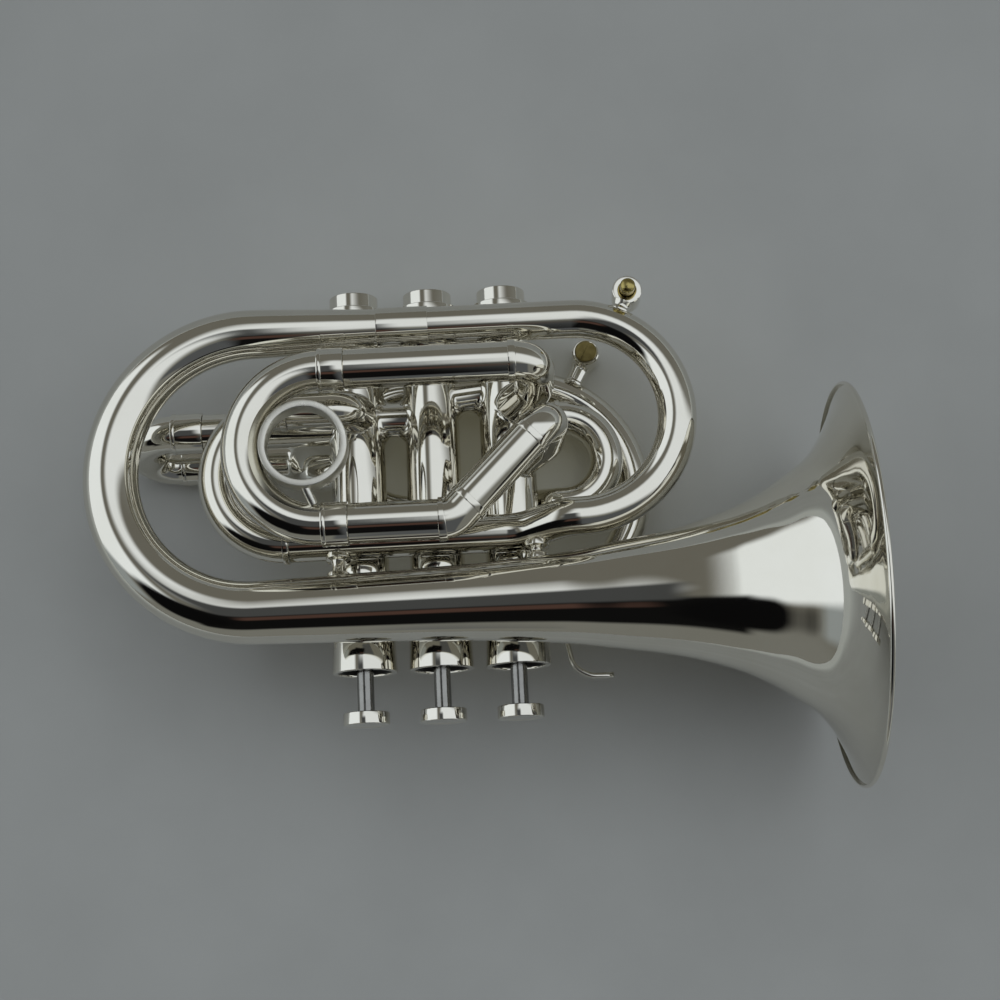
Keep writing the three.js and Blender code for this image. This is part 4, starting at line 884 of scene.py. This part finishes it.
def knuckle_mesh(start, end):
    """A short tube between two casings, run into each with a fillet that is widest above and below."""
    start, end = Vector(start), Vector(end)
    way = (end - start).normalized()
    side = way.cross(Vector(FORWARD)).normalized()
    up = way.cross(side)
    spokes = [side * cos(2 * pi * k / SIDES) + up * sin(2 * pi * k / SIDES) for k in range(SIDES)]
    bends = [pi / 2 * k / FILLET_STEPS for k in range(FILLET_STEPS + 1)]
    plan = [(start, -way, a) for a in reversed(bends)] + [(end, way, a) for a in bends]
    rings = []
    for centre, towards, bend in plan:
        ring_points = []
        for out in spokes:
            fillet = LEAST_FILLET + MORE_FILLET * out.y ** 2
            offset = out * (KNUCKLE + fillet * (1 - cos(bend)))
            rise = fillet * (1 - sin(bend)) - SUNK
            ring_points.append(centre + offset - towards * casing_depth(offset, towards, CASING + rise))
        rings.append(ring_points)
    for centre, towards in ((end, way), (start, -way)):
        ring_points = []
        for out in spokes:
            offset = out * (KNUCKLE - KNUCKLE_WALL)
            ring_points.append(centre + offset - towards * casing_depth(offset, towards, CASING - SUNK))
        rings.append(ring_points)
    return skin(rings)


fine("knuckle_1_2", knuckle_mesh((-PITCH, 68, 0), (0, 68, 0)))
fine("knuckle_2_3", knuckle_mesh((0, 74, 0), (PITCH, 77, 0)))


# Valves: heights along the casing's axis, with the radius there

# Top cap
CAP_BORE = 9.6
CAP_FACE_Y = -18.2
CAP_FACE = 10.85
CAP_FOOT_Y = -5
CAP_FOOT = 10.3
CAP_FLOOR_Y = -13.2
CAP_RECESS = 8.75
STEM_HOLE = 3.5

# The black felt sleeve on each recess wall, painted shade that darkens the recess: how far it starts under the face
# and sinks into the floor, and its two radii
RECESS_SHADE_TOP = 0.7
RECESS_SHADE_SINK = 0.05
RECESS_SHADE = (8.35, 8.72)

# Bottom cap: a skirt over the casing's end, and a nose with a hole
SKIRT_Y = 100.6
SKIRT = 10.5
NOSE_FACE_Y = 111.9
NOSE_LENGTH = 5.2
NOSE = 8.35
NOSE_HOLE = 2
NOSE_FLOOR = 1.6
NOSE_BORE = 6.75

# Stem with its collar, and the button on it
STEM = 2.8
STEM_TOP_Y = -33.3
STEM_FOOT_Y = -6
COLLAR = 5
COLLAR_Y = (-10.4, -8.3)
BUTTON = 7.75
BUTTON_FACE_Y = -35.4
BUTTON_THICKNESS = 4.2
BUTTON_FOOT_Y = BUTTON_FACE_Y + BUTTON_THICKNESS
BUTTON_DISH = [(0.35, 0), (0.3, 5.2), (0, 6.6)]
BUTTON_SINK_Y = -33.6
BUTTON_HOLE = 3.1

casing_outline = band(CASING_TOP, CASING_BOTTOM, CASING_BORE, CASING)
cap_outline = [
    (CAP_FACE_Y, CAP_RECESS), (CAP_FACE_Y, CAP_FACE), (CAP_FOOT_Y, CAP_FOOT), (CAP_FOOT_Y, CAP_BORE),
    (CASING_TOP - GAP, CAP_BORE), (CASING_TOP - GAP, STEM_HOLE), (CAP_FLOOR_Y, STEM_HOLE), (CAP_FLOOR_Y, CAP_RECESS),
]
recess_shade_outline = band(CAP_FACE_Y + RECESS_SHADE_TOP, CAP_FLOOR_Y - RECESS_SHADE_SINK, *RECESS_SHADE)
bottom_outline = [
    (SKIRT_Y, CAP_BORE), (SKIRT_Y, SKIRT), (NOSE_FACE_Y - NOSE_LENGTH, SKIRT), (NOSE_FACE_Y - NOSE_LENGTH, NOSE),
    (NOSE_FACE_Y, NOSE), (NOSE_FACE_Y, NOSE_HOLE), (NOSE_FACE_Y - NOSE_FLOOR, NOSE_HOLE),
    (NOSE_FACE_Y - NOSE_FLOOR, NOSE_BORE), (CASING_BOTTOM + GAP, NOSE_BORE), (CASING_BOTTOM + GAP, CAP_BORE),
]
stem_outline = [
    (STEM_TOP_Y, 0), (STEM_TOP_Y, STEM), (COLLAR_Y[0], STEM), (COLLAR_Y[0], COLLAR), (COLLAR_Y[1], COLLAR),
    (COLLAR_Y[1], STEM), (STEM_FOOT_Y, STEM), (STEM_FOOT_Y, 0),
]
button_outline = [(BUTTON_FACE_Y + deep, r) for deep, r in BUTTON_DISH] + [
    (BUTTON_FACE_Y, BUTTON), (BUTTON_FOOT_Y, BUTTON), (BUTTON_FOOT_Y, BUTTON_HOLE), (BUTTON_SINK_Y, BUTTON_HOLE),
    (BUTTON_SINK_Y, 0),
]

for number, x in enumerate(VALVES, 1):
    base = (x, 0, 0)
    valve = f"valve_{number}"
    fine(f"valve_casing_{number}", turned(casing_outline, base, DOWN, sides=72))
    fine(f"top_cap_{number}", turned(cap_outline, base, DOWN, sides=72, soft=0.45))
    # A sleeve of black felt on the recess wall: painted shade that darkens the cap's recess
    part(f"cap_recess_painted_shade_{number}", "trumpet", FELT, turned(recess_shade_outline, base, DOWN, sides=72, soft=0.1))
    fine(f"bottom_cap_{number}", turned(bottom_outline, base, DOWN, sides=72, soft=0.45))
    fine(f"valve_stem_{number}", turned(stem_outline, base, DOWN, sides=40), body=valve, material=GROUND)
    fine(f"finger_button_{number}", turned(button_outline, base, DOWN, sides=72, soft=0.5), body=valve)


# Water keys: one on the right bow looks forward, one on the leadpipe's bow looks backward

KEY_1 = Vector((67.4, 102.1, 15.5))
KEY_2 = Vector((54.2, 92.1, -10))
KEY_MOUTH = 2.68
KEY_LIP = 1
KEY_BORE = 3
KEY_FLOOR = 2.5
NIPPLE_SINK = 1
NIPPLE_ENDS = 3.6
PLUNGER = 2.5
PLUNGER_FOOT = 5.3
DOME_HEIGHT = 1.4
DOME_STEPS = 8


def key_meshes(base, radius, length, way, centre, bend, tube_radius):
    """A key's body, which looks along `way`, with its nipple to the bow round `centre`."""
    body = turned(
        [(0, 0), (0, radius), (length, radius), (length, KEY_MOUTH), (length - KEY_LIP, KEY_MOUTH),
         (length - KEY_LIP, KEY_BORE), (KEY_FLOOR, KEY_BORE), (KEY_FLOOR, 0)],
        base, way, sides=56, soft=0.6)
    middle = Vector((base.x, base.y, centre[2]))
    inward = Vector(centre) - middle
    reach = inward.length - bend - tube_radius
    nipple = turned(
        [(radius - NIPPLE_SINK, 0), (radius - NIPPLE_SINK, NIPPLE_ENDS), (radius + 0.4, 3.1), (reach - 0.4, 3),
         (reach + 0.1, 3.5), (reach + NIPPLE_SINK, NIPPLE_ENDS), (reach + NIPPLE_SINK, 0)],
        middle, inward, sides=40, soft=0.2)
    return body, nipple


def plunger_mesh(base, way, top):
    """A brass plunger with a round dome on its top."""
    steps = [pi / 2 * k / DOME_STEPS for k in range(DOME_STEPS)]
    dome = [(top + DOME_HEIGHT * sin(a), PLUNGER * cos(a)) for a in steps]
    outline = [(PLUNGER_FOOT, 0), (PLUNGER_FOOT, PLUNGER)] + dome + [(top + DOME_HEIGHT, 0)]
    return turned(outline, base, way, sides=40, soft=0.1)


fine("water_key_body_1", *key_meshes(
    KEY_1, 4.9, 10, FORWARD, (BOW_X, TOP_Y - BOW_BEND, BELL_Z), BOW_BEND, TUBE))
fine("water_key_body_2", *key_meshes(
    KEY_2, 4.67, 9.4, BACKWARD, (LEAD_BOW_X, LEAD_Y + LEAD_BEND, FAR_Z), LEAD_BEND, LEAD_TUBE))
fine("water_key_plunger_1", plunger_mesh(KEY_1, FORWARD, top=14.2), body="water_key_1", material=BRASS)
fine("water_key_plunger_2", plunger_mesh(KEY_2, BACKWARD, top=7.9), body="water_key_2", material=BRASS)

# The screw that closes water key 2 from in front
SCREW = 3.8
SCREW_HEIGHT = 1.2
SCREW_EDGE = (0.25, 0.3)
SLOT_HALF = 0.45
SLOT_FLOOR = 0.6
FLOOR_INSET = 0.1
SLOT_TURN = pi / 3
SCREW_STEPS = 24


def screw_mesh():
    """A brass screw head with a slot: two half discs with a floor between them."""
    meshes = []
    start = atan2(SLOT_HALF, SCREW)
    top = GAP + SCREW_HEIGHT
    layers = ((GAP, SCREW), (top - SCREW_EDGE[0], SCREW), (top, SCREW - SCREW_EDGE[1]))
    count = SCREW_STEPS + 1
    for side in (0, 1):
        turn = SLOT_TURN + pi * side
        edge = [turn + start + (pi - 2 * start) * k / SCREW_STEPS for k in range(count)]
        vertices = [KEY_2 + Vector((size * cos(a), size * sin(a), height)) for height, size in layers for a in edge]
        faces = []
        for i in range(len(layers) - 1):
            here, above = i * count, (i + 1) * count
            for k in range(count):
                beside = (k + 1) % count
                faces.append((here + k, here + beside, above + beside, above + k))
        faces += [tuple(reversed(range(count))), tuple(range(2 * count, 3 * count))]
        meshes.append((vertices, faces))
    floor = turned(band(GAP, GAP + SLOT_FLOOR, 0, SCREW - FLOOR_INSET), KEY_2, FORWARD, sides=40, soft=0.1)
    return meshes + [floor]


fine("water_key_screw_2", *screw_mesh(), material=DARK_BRASS)


# CAD nodes that keep their own shape, all of them hidden inside the casings

def keep(node_name, material):
    """Gives a CAD node another finish and leaves its mesh as it is."""
    materials = bpy.data.objects[node_name].data.materials
    materials.clear()
    materials.append(material)


for number in (1, 2, 3):
    keep(f"piston_{number}", GREASED)
    keep(f"valve_guide_{number}", BRASS)
    keep(f"cap_felt_{number}", FELT)


# Valve springs

# A valve's way down, and the heights between which a spring stands at rest
SPRING_TOP = -4.6
SPRING_FOOT = 29.4
SPRING_SIZES = {"Turns": 6.0, "Coil radius": 5.6, "Height": SPRING_FOOT - SPRING_TOP, "Wire radius": 0.6}
SPIRAL_STEPS = 48
WIRE_SIDES = 12


def spring_tree():
    """Geometry nodes for a coil spring: a spiral of wire along Z, with its sizes as named inputs, in millimetres."""
    tree = bpy.data.node_groups.new("coil_spring", "GeometryNodeTree")
    tree.interface.new_socket("Geometry", in_out="OUTPUT", socket_type="NodeSocketGeometry")
    for name in SPRING_SIZES:
        tree.interface.new_socket(name, in_out="INPUT", socket_type="NodeSocketFloat")
    tree.interface.new_socket("Finish", in_out="INPUT", socket_type="NodeSocketMaterial")
    given = node(tree, "NodeGroupInput").outputs
    spiral = node(tree, "GeometryNodeCurveSpiral", {
        "Rotations": given["Turns"], "Start Radius": given["Coil radius"], "End Radius": given["Coil radius"],
        "Height": given["Height"], "Resolution": SPIRAL_STEPS})
    wire = node(tree, "GeometryNodeCurvePrimitiveCircle", {
        "Radius": given["Wire radius"], "Resolution": WIRE_SIDES})
    skinned = node(tree, "GeometryNodeCurveToMesh", {
        "Curve": spiral.outputs["Curve"], "Profile Curve": wire.outputs["Curve"], "Fill Caps": True})
    smooth = node(tree, "GeometryNodeSetShadeSmooth", {"Geometry": skinned.outputs["Mesh"]})
    real = node(tree, "GeometryNodeRealizeInstances", {"Geometry": smooth.outputs["Geometry"]})
    finish = node(tree, "GeometryNodeSetMaterial", {
        "Geometry": real.outputs["Geometry"], "Material": given["Finish"]})
    node(tree, "NodeGroupOutput", {"Geometry": finish.outputs["Geometry"]})
    return tree


SPRING_TREE = spring_tree()


def valve_spring(number, x):
    """Bakes the coil of one valve and lays it between the piston's top plate and the guide.

    The whole coil rides on the valve's body.
    """
    carrier = add("coil", bpy.data.meshes.new("coil"))
    modifier = carrier.modifiers.new("coil", "NODES")
    modifier.node_group = SPRING_TREE
    given = {**SPRING_SIZES, "Finish": WIRE}
    for item in SPRING_TREE.interface.items_tree:
        if item.in_out == "INPUT":
            modifier[item.identifier] = given[item.name]
    bpy.context.view_layer.update()
    baked = bpy.data.meshes.new_from_object(carrier.evaluated_get(bpy.context.evaluated_depsgraph_get()))
    bpy.data.objects.remove(carrier)
    stand = Matrix.Translation((x, SPRING_TOP, 0)) @ Matrix.Rotation(-pi / 2, 4, "X")
    baked.transform(REST @ stand)
    baked.name = f"valve_spring_{number}_fine"
    made = add(baked.name, baked)
    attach(made, f"valve_{number}")
    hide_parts(f"valve_spring_{number}")
    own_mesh(made)


for number, x in enumerate(VALVES, 1):
    valve_spring(number, x)


# Stage: a strip of grey paper between white cards, the soft panels round it and the photograph's camera.
# From here on sizes are in metres.

FLOOR_SIZE = 6
PAPER_HALF = 0.22
CARD_HALF = 0.6
BLOTCH = 0.09


def paper():
    """Matt paper, a blotchy grey under the trumpet and white beyond the strip's edges."""
    made, tree, shader, place = surface("paper_matt", Roughness=0.9)
    split = node(tree, "ShaderNodeSeparateXYZ", {"Vector": place})
    aside = node(tree, "ShaderNodeMath", {0: split.outputs["X"]}, operation="ABSOLUTE")
    white = node(
        tree, "ShaderNodeMapRange",
        {"Value": aside.outputs["Value"], "From Min": PAPER_HALF, "From Max": CARD_HALF},
        interpolation_type="SMOOTHSTEP")
    cloud = node(tree, "ShaderNodeTexNoise", {
        "Vector": place, "Scale": 1 / BLOTCH, "Detail": 5, "Roughness": 0.55})
    blotch = node(tree, "ShaderNodeMapRange", {
        "Value": cloud.outputs["Fac"], "From Min": NOISE_LOW, "From Max": NOISE_HIGH})
    grey = node(
        tree, "ShaderNodeMix", {"Factor": blotch.outputs["Result"], 6: linear("#a0a09d"), 7: linear("#a8a8a5")},
        data_type="RGBA")
    tint = node(
        tree, "ShaderNodeMix", {"Factor": white.outputs["Result"], 6: grey.outputs[2], 7: linear("#cdceca")},
        data_type="RGBA")
    tree.links.new(tint.outputs[2], shader.inputs["Base Color"])
    return made


bpy.ops.mesh.primitive_plane_add(size=FLOOR_SIZE)
floor = bpy.context.object
floor.name = "paper_floor"
floor.data.materials.append(paper())

# Each panel: its lowest and highest angle from straight up towards +X and towards +Y, in degrees, the width of its
# soft edge, its turn about straight up, the radius of its corners, and its colour. A later one lies over the others.
PANELS = [
    ((-180, 180), (-180, 4), 34, 36, 17, "#787975"),
    ((-115, -62), (-44, 10), 12, 0, 6, "#92999c"),
    ((-21, 130), (0, 45), 15, -19, 7, "#eaf0f6"),
    ((-130, -30), (-13, 66), 10, 1, 10, "#f2f9ff"),
    ((3, 40), (-80, -12), 6, -8, 3, "#54575b"),
    ((-40, 0), (-57, -3), 9, 3, 4, "#0c0c0d"),
    ((-57, -18), (-51, -7), 9, 0, 19, "#0c0c0d"),
    ((-20, -1), (-8, 23), 8, 2, 4, "#46484a"),
    ((-12, 2), (-23, -12), 6, -6, 3, "#4d3a34"),
]
ROOM = "#6c6b65"
BACKDROP = "#a4a7a5"


def panels():
    """The studio: large soft panels, placed by the angle and the side at which they stand from straight up."""
    world = bpy.data.worlds.new("studio_panels")
    world.use_nodes = True
    tree = world.node_tree
    way = node(tree, "ShaderNodeSeparateXYZ", {"Vector": node(tree, "ShaderNodeTexCoord").outputs["Generated"]})
    angle = node(tree, "ShaderNodeMath", {0: way.outputs["Z"]}, operation="ARCCOSINE").outputs[0]
    degrees_off = node(tree, "ShaderNodeMath", {0: angle}, operation="DEGREES").outputs[0]
    flat = node(tree, "ShaderNodeCombineXYZ", {"X": way.outputs["X"], "Y": way.outputs["Y"]}).outputs["Vector"]
    side = node(tree, "ShaderNodeVectorMath", {0: flat}, operation="NORMALIZE").outputs["Vector"]
    place = node(tree, "ShaderNodeVectorMath", {0: side, "Scale": degrees_off}, operation="SCALE").outputs["Vector"]
    colour = linear(ROOM)
    for across, along, edge, turn, corner, shade in PANELS:
        own = node(
            tree, "ShaderNodeVectorRotate", {"Vector": place, "Angle": -radians(turn)},
            rotation_type="Z_AXIS").outputs["Vector"]
        middle = [(low + high) / 2 for low, high in (across, along)] + [0]
        inset = [(high - low) / 2 - corner for low, high in (across, along)] + [1]
        off = node(tree, "ShaderNodeVectorMath", {0: own, 1: middle}, operation="SUBTRACT").outputs["Vector"]
        size = node(tree, "ShaderNodeVectorMath", {0: off}, operation="ABSOLUTE").outputs["Vector"]
        past = node(tree, "ShaderNodeVectorMath", {0: size, 1: inset}, operation="SUBTRACT").outputs["Vector"]
        past = node(tree, "ShaderNodeVectorMath", {0: past, 1: (0, 0, 0)}, operation="MAXIMUM").outputs["Vector"]
        reach = node(tree, "ShaderNodeVectorMath", {0: past}, operation="LENGTH").outputs["Value"]
        cover = node(
            tree, "ShaderNodeMapRange",
            {"Value": reach, "From Min": corner + edge / 2, "From Max": corner - edge / 2},
            interpolation_type="SMOOTHSTEP").outputs["Result"]
        colour = node(
            tree, "ShaderNodeMix", {"Factor": cover, 6: colour, 7: linear(shade)}, data_type="RGBA").outputs[2]
    seen = node(tree, "ShaderNodeLightPath").outputs["Is Camera Ray"]
    colour = node(
        tree, "ShaderNodeMix", {"Factor": seen, 6: colour, 7: linear(BACKDROP)}, data_type="RGBA").outputs[2]
    tree.links.new(colour, tree.nodes["Background"].inputs["Color"])
    return world


bpy.context.scene.world = panels()


def lamp(name, kind, **settings):
    """A lamp that the metal doesn't mirror."""
    data = bpy.data.lights.new(name, kind)
    for setting, value in settings.items():
        setattr(data, setting, value)
    made = add(name, data)
    made.visible_glossy = False
    return made


# A large soft lamp high on the +Y side, which gives the paper its shadow towards -Y
key = lamp("key", "SUN", energy=0.78, color=(0.86, 0.94, 1), angle=radians(50))
key.rotation_euler = (-radians(30), 0, 0)

# The light that the plated tubes throw on the paper between them: a small warm lamp close over it, without shadows
bounce = lamp(
    "bounce", "AREA", shape="RECTANGLE", size=0.1, size_y=0.045, energy=0.009, color=(1, 0.94, 0.62),
    use_shadow=False)
bounce.location = (0.005, 0.022, 0.05)
bounce.visible_camera = False

bpy.context.scene.view_settings.view_transform = "Standard"

# The photograph's camera, solved in the instrument's frame, in millimetres. FRAMES_PER_METRE says how many widths of
# its frame make a metre at the target.
CAMERA_TARGET = Vector((21.9, 33.2, 23))
CAMERA_DISTANCE = 622
CAMERA_TILT = radians(13)
CAMERA_ROLL = radians(2.8)
FRAMES_PER_METRE = 3.077
SENSOR = 36

back = Vector((0, -sin(CAMERA_TILT), cos(CAMERA_TILT)))
level = Vector((0, cos(CAMERA_TILT), sin(CAMERA_TILT)))
right = Vector((1, 0, 0)) * cos(CAMERA_ROLL) - level * sin(CAMERA_ROLL)
upward = Vector((1, 0, 0)) * sin(CAMERA_ROLL) + level * cos(CAMERA_ROLL)
axes = Matrix([TURN @ axis for axis in (right, upward, back)]).transposed()
camera = add("camera", bpy.data.cameras.new("camera"))
camera.data.sensor_width = SENSOR
camera.data.lens = FRAMES_PER_METRE * CAMERA_DISTANCE / MM_PER_METRE * SENSOR
camera.matrix_world = Matrix.Translation(REST @ (CAMERA_TARGET + back * CAMERA_DISTANCE)) @ axes.to_4x4()
bpy.context.scene.camera = camera

bpy.context.view_layer.update()
